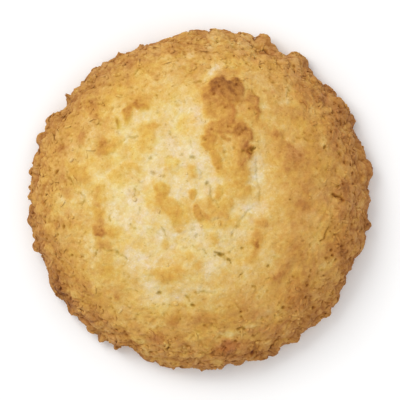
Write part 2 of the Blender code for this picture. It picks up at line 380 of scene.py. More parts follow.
# ---- browning laid down in patches ---------------------------------------------------------
# x, y, half along, half across (mm as seen from above), bearing of the long
# way, how much more or less baked, redder (+) or yellower (-)
PATCHES = (
    (16.3, 8.0, 5.0, 4.2, 90, 0.20, 0.0), (15.0, -4.0, 5.0, 3.0, 90, 0.05, 0.0),
    (-12.4, 3.6, 3.6, 2.4, 0, 0.04, 0.0),
    # brown places of the side
    (-1.9, 27.5, 1.7, 0.9, 0, 0.13, 0.5), (-2.2, 29.6, 1.8, 0.7, 0, 0.09, 0.2),
    (23.0, 8.0, 6.0, 1.9, 82, 0.07, 0.1), (19.0, -3.4, 3.0, 1.6, 80, 0.05, 0.1), (26.8, -3.2, 2.2, 1.2, 10, 0.06, 0.1),
    (-27.3, 10.3, 2.6, 1.5, 80, 0.08, 0.0), (13.0, 15.6, 2.0, 1.3, 90, 0.07, 0.0), (17.3, 24.2, 2.0, 1.3, 80, 0.08, 0.0),
    (-19.3, 23.5, 1.4, 1.3, 0, 0.08, 0.0), (-1.6, 13.4, 3.0, 1.0, 35, 0.05, 0.0), (23.0, -14.8, 2.0, 1.0, 0, 0.06, 0.0),
    (10.5, -12.4, 2.4, 1.2, 20, 0.05, 0.0), (5.8, -11.2, 1.6, 1.0, -20, 0.04, 0.0),
    (-9.0, -27.6, 1.8, 1.6, 0, 0.20, 0.6), (-5.3, -24.3, 1.8, 1.5, 90, 0.20, 0.2),
    (0.8, -24.1, 2.8, 1.6, 0, 0.13, 0.2), (5.5, -29.2, 2.8, 1.5, 0, 0.08, 1.6),
    (8.8, -21.1, 3.0, 2.4, -30, 0.12, 0.4), (18.9, -20.9, 2.6, 2.1, 45, 0.05, 0.3),
    (27.7, -9.7, 2.3, 2.0, 0, 0.14, 0.5), (-28.1, -18.0, 1.8, 1.0, 120, 0.30, 0.6),
    (-26.0, -20.7, 1.3, 1.2, 0, 0.22, 0.5), (21.5, -0.8, 2.2, 1.4, 0, 0.12, 0.4),
    (19.7, 8.0, 2.6, 2.4, 0, 0.10, 0.2), (22.8, 21.3, 2.6, 2.2, 0, 0.04, 0.2),
    (15.7, 13.3, 1.3, 0.9, 0, 0.18, 0.3), (18.7, 16.6, 1.6, 0.6, 0, 0.05, 0.3),
    (15.5, -15.6, 2.2, 1.0, 40, 0.12, 0.0), (-15.2, -23.5, 1.3, 0.6, -40, 0.14, 0.0),
    (-16.9, -19.4, 1.2, 0.5, 90, 0.18, 0.0), (-24.0, 12.5, 1.4, 1.4, 90, 0.10, 0.2),
    # pale places
    (-4.5, 20.2, 4.6, 4.8, 90, -0.02, 0.0), (-8.8, 20.5, 2.3, 1.0, 90, -0.02, 0.0),
    (-23.6, 18.2, 3.2, 0.8, 90, -0.02, 0.0), (-23.2, 9.3, 2.8, 1.1, 90, -0.08, 0.2),
    (-4.5, -19.8, 2.2, 1.2, 0, -0.20, 0.2), (0.0, -18.2, 2.9, 1.0, 0, -0.11, 0.0),
    (17.9, 19.8, 1.9, 0.9, 0, -0.16, 0.0), (13.8, 18.6, 1.1, 1.0, 0, -0.10, 0.0),
    (11.8, 24.3, 1.2, 1.0, 90, -0.06, 0.0), (23.6, -7.4, 2.2, 1.9, 90, -0.02, -0.2),
    (27.1, -0.1, 2.2, 1.2, 80, -0.04, 0.0), (10.8, -25.5, 2.2, 1.0, 0, -0.17, 0.0),
    (5.9, -27.2, 2.6, 0.9, 0, -0.14, -0.4), (-9.5, 6.0, 3.6, 2.2, 60, -0.10, 0.2),
    (-8.0, -8.8, 4.0, 2.6, 0, -0.06, 0.0), (-8.1, -24.5, 3.4, 2.2, 0, -0.03, 0.0),
    (24.5, 16.0, 3.0, 2.4, 0, 0.00, 0.0), (15.5, -24.3, 3.0, 2.4, 0, -0.05, 0.0),
    (25.4, -13.3, 2.6, 1.3, 20, -0.04, -0.2), (19.3, -13.5, 0.9, 0.8, 0, -0.14, 0.0),
    (14.2, 8.0, 3.0, 1.0, 90, -0.08, -0.2), (-18.3, -17.4, 2.6, 1.1, 100, 0.00, 0.0),
    (-12.2, -20.5, 2.4, 1.6, 0, -0.05, 0.0),
    # broad browner stretches of the shoulder and the side
    (20.5, 1.6, 4.4, 2.4, 20, 0.15, 0.1), (19.9, -8.6, 3.8, 2.6, 90, 0.13, 0.2),
    (29.7, 0.8, 4.0, 1.8, 90, 0.12, 0.2), (26.4, 14.8, 2.6, 1.6, -70, 0.17, 0.3),
    (-23.6, -17.6, 4.6, 1.9, -50, 0.13, 0.1), (-31.8, -3.2, 6.0, 1.5, 90, 0.10, 0.2),
    (-30.4, 14.0, 3.0, 1.5, 60, 0.11, 0.2), (-28.8, 7.0, 3.2, 1.7, 90, 0.10, 0.0),
    (5.7, -31.3, 5.2, 1.5, 0, 0.09, 0.3), (15.5, -26.6, 2.6, 1.5, 30, 0.10, 0.2),
    (-12.6, -26.6, 2.2, 1.4, -30, 0.10, 0.0), (19.0, -18.6, 3.4, 2.2, 45, 0.15, 0.1),
    (13.8, 30.6, 5.2, 1.7, -35, 0.10, 0.2), (-11.6, 23.4, 2.6, 1.7, 0, 0.08, 0.0),
    (24.0, 6.8, 2.8, 1.9, 0, 0.09, 0.0), (13.8, 13.6, 2.8, 1.9, 0, 0.10, 0.0),
    (-29.6, -13.0, 2.8, 1.5, 110, 0.10, 0.1), (19.6, -10.6, 3.4, 2.2, 80, 0.08, 0.1),
    (21.6, -15.3, 2.6, 1.0, 0, 0.10, 0.0), (28.4, -3.4, 2.0, 1.1, 80, 0.12, 0.2),
    (28.6, 0.2, 1.1, 0.9, 80, 0.12, 0.2), (10.2, -7.9, 1.3, 1.1, 80, 0.07, 0.3),
    (17.9, 0.9, 1.6, 1.0, 80, 0.08, 0.1), (20.7, 11.8, 1.3, 1.0, 0, 0.10, 0.2),
    (20.9, 20.4, 2.1, 0.9, -15, 0.08, 0.2),
    # and broad paler ones
    (-6.9, 23.9, 3.6, 2.3, 0, -0.10, 0.0), (11.8, 29.2, 2.0, 1.1, -20, -0.09, 0.0),
    (18.8, 21.8, 1.8, 1.5, 0, -0.09, 0.0), (26.9, -8.2, 2.6, 1.3, 90, -0.08, 0.0),
    (-10.2, -18.6, 5.0, 2.4, 0, -0.10, 0.0), (9.0, -20.2, 2.6, 2.2, 0, -0.09, 0.0),
    (-2.4, -26.4, 4.2, 1.5, 0, -0.07, 0.0), (-10.2, -29.0, 1.8, 1.2, 0, -0.09, 0.0), (-2.1, 26.0, 1.7, 0.9, 0, -0.10, 0.0),
    (-24.6, 13.6, 0.9, 1.6, 0, -0.04, 0.0), (-1.0, -21.3, 3.2, 2.0, 0, -0.07, 0.0), (0.5, -26.3, 2.8, 1.7, 0, -0.05, 0.0),
    (-25.8, -7.8, 1.8, 1.4, 0, -0.09, 0.0), (-17.0, -8.2, 1.7, 1.7, 0, -0.06, 0.0), (-7.8, 23.2, 1.6, 2.0, 0, -0.04, 0.0),
    (-25.2, 7.9, 1.4, 1.8, -30, -0.07, 0.0),
    (-31.0, 1.6, 1.0, 1.5, 0, -0.10, 0.0), (16.8, -22.9, 1.5, 0.9, 35, -0.12, 0.0),
    (-2.9, -30.4, 1.6, 1.0, 0, -0.10, 0.0), (12.0, 21.6, 2.2, 0.8, 0, -0.08, 0.0),
    (26.4, 0.6, 0.8, 1.8, 0, -0.08, 0.0), (-21.6, -2.0, 0.9, 1.1, 0, -0.08, 0.0),
    (-15.1, -14.5, 2.2, 1.7, 0, -0.07, 0.0), (-27.2, 0.2, 1.8, 1.4, 0, -0.06, 0.0),
)
# Smears, each a chain of discs that run together: how much more or less baked,
# redder, more golden, softness of the edge mm, then the discs. They are placed
# on a sight grid that lies over the macaroon as seen from above, GRID mm a step,
# counted to the right and down from its far left corner: x, y, radius in steps.
GRID = 0.2035
GRID_MIDDLE = (200.0, 199.5)
SMEARS = (
    # the browned ridge and the field it stands in
    (0.30, 0.4, 0.6, 0.70, (208, 92, 6), (210, 102, 7), (212, 112, 6)),
    (0.34, 0.5, 0.5, 0.70, (222, 90, 9), (224, 102, 9), (226, 113, 8), (226, 122, 8)),
    (0.26, 0.4, 0.4, 0.70, (238, 89, 6), (236, 99, 6), (244, 100, 4)),
    (0.08, 0.0, -0.2, 0.80, (241, 108, 6), (243, 117, 6)),
    (0.28, 0.2, 0.5, 0.80, (236, 126, 8), (240, 136, 9)),
    (0.27, 0.3, 0.3, 0.60, (251, 99, 4.5), (252, 106, 5)),
    (0.13, 0.2, 0.4, 0.80, (251, 115, 6), (249, 124, 5)),
    # its cap: a left lobe, a right one and the browned hollow between
    (0.43, 0.4, 0.3, 0.50, (211, 91.5, 4.5), (217, 87, 6.5), (224, 88, 7.5), (233, 88, 7), (238, 91, 6)),
    (0.44, 0.5, 0.5, 0.45, (211.5, 82, 2.4), (216.5, 80.2, 3), (222.5, 80.2, 3.4), (226, 83, 2.6)),
    (0.52, 0.5, 0.5, 0.45, (219.5, 80.8, 2.2), (223.5, 81.5, 2)),
    (0.45, 0.6, 0.6, 0.50, (211, 85, 3), (211.5, 89.5, 4), (212, 94, 3)),
    (0.51, 0.9, 0.8, 0.40, (214, 85.5, 1.4), (213, 89, 1.8)),
    (0.51, 1.2, 0.8, 0.35, (213, 94.5, 1.7), (214, 96, 1.5)),
    (0.44, 0.5, 0.5, 0.45, (233, 81, 2), (237, 80, 2), (237.5, 84, 3.2), (235.5, 88.5, 3.4)),
    (0.45, 0.6, 0.5, 0.45, (240, 84, 2.2), (241, 88.5, 2.4), (238, 92.5, 3.4)),
    (0.42, 0.5, 0.5, 0.50, (227, 88.5, 3), (231, 88.5, 2.4)),
    (0.48, 0.7, 0.8, 0.45, (219, 91, 2.4), (223, 94.5, 2.2), (224, 97, 1.8)),
    (0.45, 0.5, 0.6, 0.50, (235, 93, 3.4), (241, 93.5, 3.2)),
    # its slope, with a rusty streak down it
    (0.38, 0.4, 0.7, 0.55, (206, 95, 3.6), (208, 100, 4), (212, 102, 4)),
    (0.38, 0.5, 0.6, 0.55, (213, 98, 3), (222, 101, 4), (230, 100, 4)),
    (0.41, 0.3, 1.3, 0.60, (225.5, 107, 2.8), (228, 110, 2.6)),
    (0.38, 1.4, 0.9, 0.45, (233.5, 107, 2), (234, 112, 2.6), (233, 118, 2.8), (232, 123, 3)),
    (0.50, 1.2, 0.8, 0.45, (233, 120, 2.2), (232, 123.5, 2.4)),
    (0.28, 0.2, 1.8, 0.50, (207, 112, 3), (213, 112.5, 3)),
    (0.27, 0.3, 0.8, 0.60, (218, 110, 4), (220, 118, 5)),
    # its right arm
    (0.22, 0.0, 0.2, 0.35, (248.5, 91, 0.9), (251, 92.8, 1.0)),
    (0.34, 0.4, 0.3, 0.45, (253.5, 96.5, 1.3), (256, 99, 1.9), (252, 100.5, 2.3), (247, 99.5, 2)),
    (0.46, 0.4, 0.4, 0.40, (257, 97.5, 1.3), (257.5, 102, 1.7), (257, 107, 1.5)),
    (0.46, 0.4, 0.6, 0.50, (256, 107, 3), (259, 112, 2.6), (257.5, 118, 1.8)),
    # its lower part: a broad brown band, a lobe at its left and two legs
    (0.42, 0.5, 0.6, 0.70, (209, 132, 5), (214, 126, 6), (223, 127, 7), (234, 128, 8), (244, 133, 8)),
    (0.50, 0.9, 0.7, 0.55, (219, 122.5, 2.6), (221, 127, 3.4), (219, 131, 2.6)),
    (0.51, 0.5, 0.7, 0.50, (212.5, 129.5, 1.8), (220, 131, 2.6), (229, 132.5, 2.4), (234, 133, 2)),
    (0.54, 0.6, 0.6, 0.45, (234, 129.5, 1.8), (238, 125, 3), (240.5, 129, 3.2), (243.5, 131, 2)),
    (0.60, 0.3, 0.6, 0.45, (246, 129.5, 2.6), (250, 131, 2.4), (252.5, 135, 2.2), (252, 140, 1.6)),
    (0.50, 0.4, 1.0, 0.60, (204, 138.5, 3.6), (208, 137, 5), (212.5, 139, 5.5), (209, 141.5, 5)),
    (0.43, 0.2, 1.6, 0.55, (204, 143, 2.4), (208, 145, 4), (212, 148, 3.6)),
    (0.43, 0.2, 1.3, 0.60, (213, 147, 3.8), (215, 154, 4.6), (217, 161, 4.6), (219, 166.5, 3.4)),
    (0.32, 0.3, 0.9, 0.60, (217, 138, 3), (219, 143, 4), (218, 147, 3)),
    (0.48, 0.3, 0.8, 0.50, (222.5, 135, 2), (226, 138.5, 2.6), (228, 139.5, 2)),
    (0.38, 0.5, 0.4, 0.60, (241, 138, 4), (242, 143, 4.6), (243, 148, 4.6)),
    (0.46, 0.9, 0.5, 0.45, (249, 137, 1.8), (248, 140, 2), (246, 145, 2.8), (244, 148, 2)),
    (0.38, 0.5, 0.8, 0.60, (241, 151, 4.4), (241.5, 158, 4.8), (241, 164, 4.4)),
    (0.44, 0.6, 0.8, 0.40, (242, 151, 1.2), (243, 151.4, 1.2)),
    (0.42, 0.9, 0.6, 0.45, (246, 148, 2.2), (250, 147.5, 2.2), (253, 147, 1.8)),
    (0.50, 1.2, 0.8, 0.45, (247, 152, 3), (249.5, 154, 2.8), (249, 157.5, 2.4)),
    (0.24, 0.2, 0.8, 0.70, (221, 148, 3.4), (222, 155, 3)),
    (0.24, 0.2, 0.8, 0.70, (235, 144, 3.4), (236, 150, 3), (236, 158, 3.4)),
    (0.12, 0.0, 0.5, 0.70, (228, 147, 4), (229, 156, 5), (229, 164, 6)),
    (0.26, 0.1, 1.0, 0.75, (222, 173, 6), (232, 173, 8), (241, 171, 7), (243, 180, 6), (236, 184, 6)),
    # hooked patch
    (0.20, 0.2, 0.6, 0.60, (130, 101, 5), (138, 101, 5)),
    (0.40, 0.4, 2.0, 0.45, (132, 105.5, 3), (135, 104.5, 3)),
    (0.33, 0.4, 2.0, 0.40, (138, 104.5, 3), (143, 106, 2.2)),
    (0.26, 0.2, 2.2, 0.45, (140, 106, 3), (146, 107, 2.4)),
    (0.43, 0.5, 2.3, 0.50, (130, 107.5, 3), (127, 112, 3.6)),
    (0.31, 0.1, 1.9, 0.50, (127, 114, 4.4), (127, 120, 2.6)),
    (0.24, 0.3, 0.3, 0.65, (93, 103, 4), (95, 111, 5.5), (96, 118, 4)),
    (0.20, 0.1, 1.0, 0.60, (142, 126, 4), (149, 126, 4.5), (155, 125, 3)),
    (0.20, 0.0, 0.8, 0.70, (147, 131, 6), (149, 139, 7.5), (143, 147, 8), (149, 148, 5)),
    (0.30, -3.0, 2.6, 0.40, (117, 118.5, 1.6), (118, 124, 2.4), (117.5, 127, 1.6)),
    # round patch
    (0.34, 0.1, 1.7, 0.50, (104, 143, 5), (105, 148.5, 6.5), (111, 148.5, 5), (100, 151, 4)),
    (0.41, 0.0, 2.4, 0.60, (106, 147, 4), (109, 149, 4.4)),
    (0.23, 0.4, 0.8, 0.55, (82, 136, 3), (82, 140, 3.6), (81, 144, 3)),
    (0.21, 0.0, 0.9, 0.65, (117, 173, 5.5), (124, 169, 6), (131, 166.5, 5), (137, 169, 3)),
    (0.16, 0.0, 0.9, 0.70, (113, 177, 5), (121, 181, 5)),
    (0.18, 0.0, 0.9, 0.70, (76, 172, 6), (83, 175, 7), (86, 179, 4.5)),
    (0.16, 0.1, 0.9, 0.80, (112, 139, 6), (119, 149, 7), (127, 153, 6), (138, 156, 6)),
    (0.09, 0.1, 0.7, 0.90, (92, 166, 7), (102, 162, 7), (114, 163, 6)),
    (0.14, -0.2, 1.0, 0.60, (183, 122, 5), (182, 129, 4)),
    (0.17, -0.2, 1.2, 0.55, (169, 159, 4.5), (167, 166, 3.5), (174, 162, 4)),
    (0.19, 0.0, 1.1, 0.50, (192, 168, 3.8), (193, 174, 4.2)),
    # middle patch
    (0.31, 0.1, 1.0, 0.45, (159, 187, 5), (164, 189, 6), (160, 196, 6)),
    (0.12, 0.1, 0.0, 0.70, (148, 188, 4), (153, 183, 4)),
    (0.19, 0.0, 0.8, 0.50, (157, 203, 5), (165, 200, 6)),
    (0.27, 0.0, 0.8, 0.50, (165, 202, 7), (172, 206, 8), (177, 212, 7.5), (178, 220, 6), (180, 227, 4)),
    (0.13, 0.0, 0.6, 0.60, (151, 199, 5), (152, 206, 5)),
    (0.32, 0.1, 1.3, 0.35, (193, 192, 4), (193, 196, 3.5)),
    (0.40, 0.3, 1.2, 0.40, (196, 207, 3.5), (198, 213, 5.2), (200, 218, 3.5)),
    (0.18, 0.0, 0.7, 0.65, (186, 203, 6), (189, 210, 7), (188, 217, 6), (197, 203, 5)),
    (0.25, 0.0, 0.8, 0.60, (206, 203, 7), (211, 213, 8), (222, 209, 9), (227, 203, 6)),
    (0.32, 0.1, 0.8, 0.40, (204, 214, 3.4), (209, 217, 3)),
    (0.31, 0.0, 0.6, 0.40, (223, 212, 3.5), (226, 216, 3)),
    (0.17, 0.1, 1.6, 0.90, (209, 223, 6), (222, 223, 6), (234, 220, 7)),
    (0.26, 0.0, 1.4, 0.40, (219, 188, 3), (220, 193, 4), (219, 197, 2.6)),
    (0.20, 0.0, 0.9, 0.65, (228, 187, 7), (237, 191, 8), (246, 189, 6)),
    # two marks on the right
    (0.16, 0.5, 0.3, 0.55, (258, 221, 3.5), (264, 222, 4)),
    (0.24, 0.3, 0.4, 0.60, (257, 233, 4.5), (256, 240, 6)),
    (0.14, 0.3, 0.4, 0.60, (256, 247, 5), (254, 254, 4)),
    (0.42, 0.8, 1.0, 0.40, (258, 239, 2.2), (256, 244, 2.6)),
    (0.18, 0.1, 1.0, 0.50, (214, 234, 4), (215, 240, 3)),
    (0.17, 0.1, 0.8, 0.45, (165, 241, 3.6), (165, 245, 3.6)),
    # left marks
    (0.46, 0.7, 1.2, 0.50, (96, 228, 2.6), (99, 231, 3.4), (103, 232, 2.6)),
    (0.60, 1.4, 1.4, 0.40, (99, 233.5, 2.2), (102, 234.5, 2.4)),
    (0.28, 0.4, 0.4, 0.50, (99, 221, 4), (98, 227, 4.6)),
    (0.15, 0.1, 1.2, 0.50, (106, 231, 3.5), (112, 232, 3)),
    (0.22, -0.1, 0.9, 0.60, (99, 241, 5.5), (105, 245, 4.5)),
    (0.26, 0.1, 0.8, 0.65, (99, 190, 6), (98, 201, 6)),
    (0.17, 0.1, 0.8, 0.60, (98, 209, 5), (99, 217, 4.5)),
    (0.17, 0.1, 0.9, 0.60, (73, 222, 6), (79, 224, 4)),
    (0.06, -0.2, 0.9, 0.90, (106, 258, 7), (104, 266, 8), (109, 275, 8)),
    # lower patch
    (0.18, 0.2, 0.8, 0.60, (158, 273, 5.5), (166, 274, 7), (175, 273, 7.5), (184, 271, 5)),
    (0.09, 0.1, 0.7, 0.50, (168, 280, 3), (176, 279, 3)),
    (0.13, -0.4, 1.2, 0.50, (145, 273, 2.6), (148, 276, 2.2)),
    (0.12, 0.0, 0.6, 0.70, (189, 255, 6), (197, 258, 6), (196, 264, 5)),
    (0.06, 0.5, 0.2, 0.80, (302, 206, 5.5), (306, 208, 4)),
    (0.16, 0.4, 0.2, 0.80, (277, 277, 5), (283, 271, 4.5), (287, 266, 4)),
    (0.10, 0.4, 0.2, 0.90, (299, 298, 6), (303, 303, 7)),
    # paler places, and a painted highlight on the lit upper slope above the ridge's cap
    (-0.12, 0.0, -0.3, 0.60, (250, 208, 5), (256, 208, 7), (263, 206, 6)),
    (-0.13, -0.1, -0.4, 0.60, (258, 158, 5), (260, 169, 7.5), (260, 177, 6)),
    (0.05, 0.0, 0.3, 0.80, (257, 185, 4.5), (257, 190, 4)),
    (-0.10, 0.0, 0.0, 0.80, (92, 240, 5), (92, 252, 6), (92, 262, 6)),
    (-0.10, 0.1, -0.3, 0.70, (133, 256, 7), (141, 258, 7), (146, 268, 5), (144, 277, 5),
     (149, 285, 7), (154, 294, 6)),
    (-0.10, 0.0, -0.2, 0.70, (205, 258, 5), (213, 264, 7), (222, 263, 6)),
    (-0.08, 0.1, -0.3, 0.80, (243, 268, 6), (250, 273, 7), (246, 281, 6)),
    (-0.05, 0.0, -0.3, 0.90, (115, 203, 6), (118, 214, 7), (131, 200, 8), (141, 207, 8)),
    # painted highlight: the lit upper slope above the ridge's cap, made paler
    (-0.14, 0.1, 0.0, 0.50, (211, 73, 3.5), (216, 69, 4.5), (221, 67, 4)),
    (-0.20, 0.1, -0.3, 0.40, (214, 71.5, 2.8), (218, 69.5, 2.8)),
    (-0.03, 0.2, -0.6, 0.60, (174, 137, 5), (171, 144, 6), (176, 150, 5)),
    (-0.04, 0.2, -0.6, 0.60, (190, 105, 6), (196, 112, 6), (201, 120, 4)),
    (-0.04, 0.0, -0.4, 0.70, (197, 152, 5), (203, 162, 6), (206, 172, 6), (213, 178, 5)),
)
# broad mounds and dips: x, y, half along, half across, bearing, height mm
MOUNDS = (
    (5.3, 22.6, 4.6, 2.9, 0, 0.70), (6.0, 15.5, 6.6, 5.4, 90, 0.45),
    (-4.5, 17.0, 6.0, 3.2, 80, -0.45), (12.4, 3.6, 7.5, 2.4, 82, -0.55),
    (-5.5, -1.5, 6.5, 3.6, -38, 0.35), (-14.5, -1.0, 5.5, 4.2, 75, -0.30),
    (-19.5, 11.0, 4.5, 3.6, 20, 0.25), (-13.5, 18.5, 5.2, 3.2, 40, 0.30),
    (22.5, 7.0, 6.5, 5.0, 70, 0.40), (20.0, -12.5, 6.5, 4.5, -50, 0.35),
    (-3.0, -15.0, 7.0, 4.0, 0, 0.30), (-19.0, -9.0, 4.5, 3.5, 90, 0.25),
    (4.5, -9.5, 5.0, 1.8, -28, -0.30),
)
# cracks: depth mm, half width mm, how much painted shade darkens them, then places along it
CRACKS = (
    (0.30, 0.30, 0.40, (-2.0, 11.9), (-1.9, 10.9), (-1.6, 10.3)),
    (0.30, 0.45, 0.30, (-0.2, 6.2), (0.1, 5.4), (0.4, 4.4)),
    (0.45, 0.38, 0.40, (2.1, 3.0), (2.3, 1.7), (2.4, 0.7), (3.1, -0.3), (3.9, -1.5)),
    (0.40, 0.34, 0.26, (11.4, 8.0), (11.5, 6.0), (11.7, 4.0), (12.0, 2.5), (12.2, 1.3), (12.2, -0.3)),
    (0.40, 0.32, 0.34, (10.6, -1.7), (9.4, -2.8), (8.3, -4.0), (7.9, -4.9), (7.0, -5.8)),
    (0.45, 0.36, 0.50, (7.0, -5.8), (6.6, -6.5), (6.6, -7.4)),
    (0.80, 0.44, 0.97, (3.1, -10.8), (3.9, -10.9), (4.7, -11.3), (5.3, -11.8), (5.9, -12.1), (6.3, -12.8)),
    (0.25, 0.28, 0.25, (6.0, -10.5), (7.1, -9.7)),
    (0.40, 0.32, 0.50, (-21.3, -11.4), (-21.0, -10.5), (-20.7, -9.7)),
    (0.50, 0.36, 0.50, (-19.7, -9.9), (-19.0, -10.4), (-18.3, -10.3), (-17.6, -10.1),
     (-16.8, -10.6), (-16.0, -11.1), (-15.1, -11.6), (-14.9, -12.1)),
    (0.35, 0.40, 0.45, (-13.3, 2.5), (-13.1, 1.5), (-13.5, 0.6)),
    (0.30, 0.30, 0.45, (-12.6, 3.9), (-11.9, 3.3), (-11.4, 4.0)),
    (0.30, 0.30, 0.35, (-12.3, -1.5), (-12.2, -2.3), (-12.8, -3.1)),
    (0.35, 0.34, 0.45, (-14.1, -5.0), (-13.4, -5.8), (-12.7, -6.1), (-12.1, -5.8)),
    (0.25, 0.26, 0.25, (-11.0, -5.6), (-10.0, -5.8), (-9.0, -6.3), (-8.1, -6.9)),
    (0.35, 0.30, 0.50, (-7.9, -5.5), (-7.3, -6.2), (-7.1, -7.0), (-6.7, -7.2)),
    (0.30, 0.30, 0.40, (-1.6, -5.9), (-0.9, -6.3)),
    (0.35, 0.32, 0.60, (-0.6, -7.0), (-1.1, -7.5)),
    (0.30, 0.28, 0.40, (-1.3, -9.1), (-0.6, -10.0), (0.2, -9.9)),
    (0.35, 0.30, 0.50, (0.6, -9.7), (1.0, -10.3), (1.4, -11.2)),
    (0.25, 0.30, 0.35, (-3.7, -9.2), (-3.2, -9.9), (-2.3, -9.6)),
    (0.20, 0.26, 0.20, (-4.7, -8.4), (-5.0, -9.9)),
    (0.20, 0.26, 0.25, (0.4, -13.6), (1.0, -13.0), (2.0, -12.9)),
    (0.40, 0.34, 0.60, (8.0, -15.6), (8.4, -15.0), (9.0, -14.6)),
    (0.35, 0.34, 0.50, (10.7, -17.2), (11.2, -17.7), (11.6, -18.5)),
    (0.40, 0.34, 0.60, (-3.0, -19.2), (-2.3, -19.7), (-2.1, -20.6)),
    (0.25, 0.28, 0.35, (-1.1, -18.7), (0.0, -18.6), (1.4, -18.5), (2.3, -18.8), (3.2, -18.4)),
    (0.20, 0.26, 0.25, (-9.2, -21.0), (-8.3, -20.7)),
    (0.25, 0.32, 0.30, (2.7, -22.4), (3.0, -23.3), (3.2, -24.4)),
    (0.45, 0.32, 0.55, (7.6, -26.2), (8.1, -25.7), (9.0, -25.6), (9.2, -26.3)),
    (0.25, 0.30, 0.40, (3.5, -27.9), (4.0, -27.1)),
    (0.30, 0.34, 0.50, (-3.3, -28.9), (-2.6, -29.5), (-1.9, -29.4)),
    (0.25, 0.34, 0.30, (-1.9, -28.0), (-1.4, -27.3), (-0.8, -26.9)),
    (0.25, 0.26, 0.30, (7.1, -20.8), (7.8, -21.5), (8.3, -22.3)),
    (0.45, 0.36, 0.50, (24.4, -8.3), (25.2, -7.7), (25.6, -6.6), (26.1, -5.4)),
    (0.70, 0.56, 1.00, (27.1, 1.2), (27.9, 0.8), (28.5, 0.3), (29.2, -0.1)),
    (0.30, 0.32, 0.40, (29.6, -3.5), (29.1, -4.6)),
    (0.65, 0.48, 0.85, (10.6, 31.3), (11.6, 31.0), (12.4, 30.5), (13.2, 30.4), (14.0, 29.6), (15.0, 29.0)),
    (0.45, 0.44, 0.70, (14.9, 28.3), (15.6, 27.6), (16.1, 27.0)),
    (0.30, 0.32, 0.40, (1.0, 29.6), (2.2, 29.7), (3.8, 29.5)),
    (0.45, 0.40, 0.55, (7.8, 33.7), (8.3, 33.3), (9.0, 32.9)),
    (0.30, 0.32, 0.45, (-5.8, 29.9), (-4.9, 29.9)),
    (0.30, 0.32, 0.45, (-3.5, 29.8), (-2.5, 29.8)),
    (0.30, 0.32, 0.45, (-1.0, 30.1), (0.1, 30.3)),
    (0.30, 0.32, 0.45, (8.1, 30.4), (9.3, 30.3)),
    (0.35, 0.30, 0.45, (0.3, 17.1), (0.1, 16.3), (0.7, 15.4), (0.9, 14.7)),
    (0.30, 0.32, 0.40, (-11.6, 26.8), (-12.7, 26.4), (-13.2, 25.4), (-13.9, 24.9)),
    (0.35, 0.32, 0.45, (-15.3, 12.0), (-14.7, 12.7), (-13.6, 12.6), (-12.5, 12.7)),
    (0.12, 0.66, 0.26, (-16.9, 16.4), (-16.7, 15.2), (-16.6, 14.6)),
    (0.30, 0.32, 0.60, (-4.9, 20.0), (-4.1, 20.0), (-3.2, 19.7)),
    (0.25, 0.30, 0.50, (-2.0, 23.6), (-0.4, 23.9), (1.4, 23.9)),
    (1.00, 0.46, 1.20, (8.7, 9.9), (9.6, 10.0), (10.5, 10.2), (11.3, 10.5)),
    (0.90, 0.40, 1.20, (9.9, 9.9), (10.4, 9.7), (10.8, 9.8)),
    (0.25, 0.38, 0.45, (-27.3, 5.7), (-26.8, 5.0), (-26.2, 3.9), (-25.7, 3.0)),
    (0.25, 0.36, 0.40, (19.6, 12.7), (20.4, 12.4)), (0.25, 0.38, 0.45, (21.2, 12.4), (22.0, 12.0), (22.8, 11.9)),
    (0.25, 0.34, 0.40, (-24.4, 1.3), (-23.6, 1.0)),
    (0.25, 0.34, 0.40, (-22.4, 1.3), (-21.8, 1.8)),
    (0.25, 0.30, 0.35, (-24.0, -0.8), (-23.5, -0.1), (-23.1, 0.6)),
    (0.35, 0.34, 0.50, (-18.4, -3.0), (-18.4, -4.1)),
    (0.25, 0.34, 0.40, (-17.0, -4.6), (-16.4, -4.3)),
    (0.25, 0.30, 0.40, (-6.0, 9.7), (-5.4, 10.3)),
    (0.25, 0.32, 0.50, (-5.6, 12.4), (-4.7, 12.6)),
    (0.20, 0.24, 0.25, (-7.2, 8.4), (-6.0, 9.0)),
    (0.30, 0.34, 0.45, (10.4, 22.1), (11.6, 20.9)),
    (0.25, 0.30, 0.45, (7.5, 19.6), (8.5, 20.0)),
    (0.20, 0.26, 0.25, (2.4, -4.6), (3.1, -3.8), (4.7, -3.6)),
    (0.30, 0.32, 0.45, (4.5, 12.7), (5.5, 12.2)),
    (0.25, 0.30, 0.40, (3.1, 6.2), (3.9, 6.3)),
    (0.25, 0.28, 0.35, (13.0, -7.2), (13.6, -6.6)),
    (0.20, 0.26, 0.25, (17.3, -7.8), (18.1, -8.5)),
    (0.30, 0.34, 0.40, (-28.2, 16.6), (-27.0, 17.0)),
    (0.30, 0.34, 0.40, (-28.3, 11.7), (-27.7, 10.5), (-27.5, 10.1)),
)
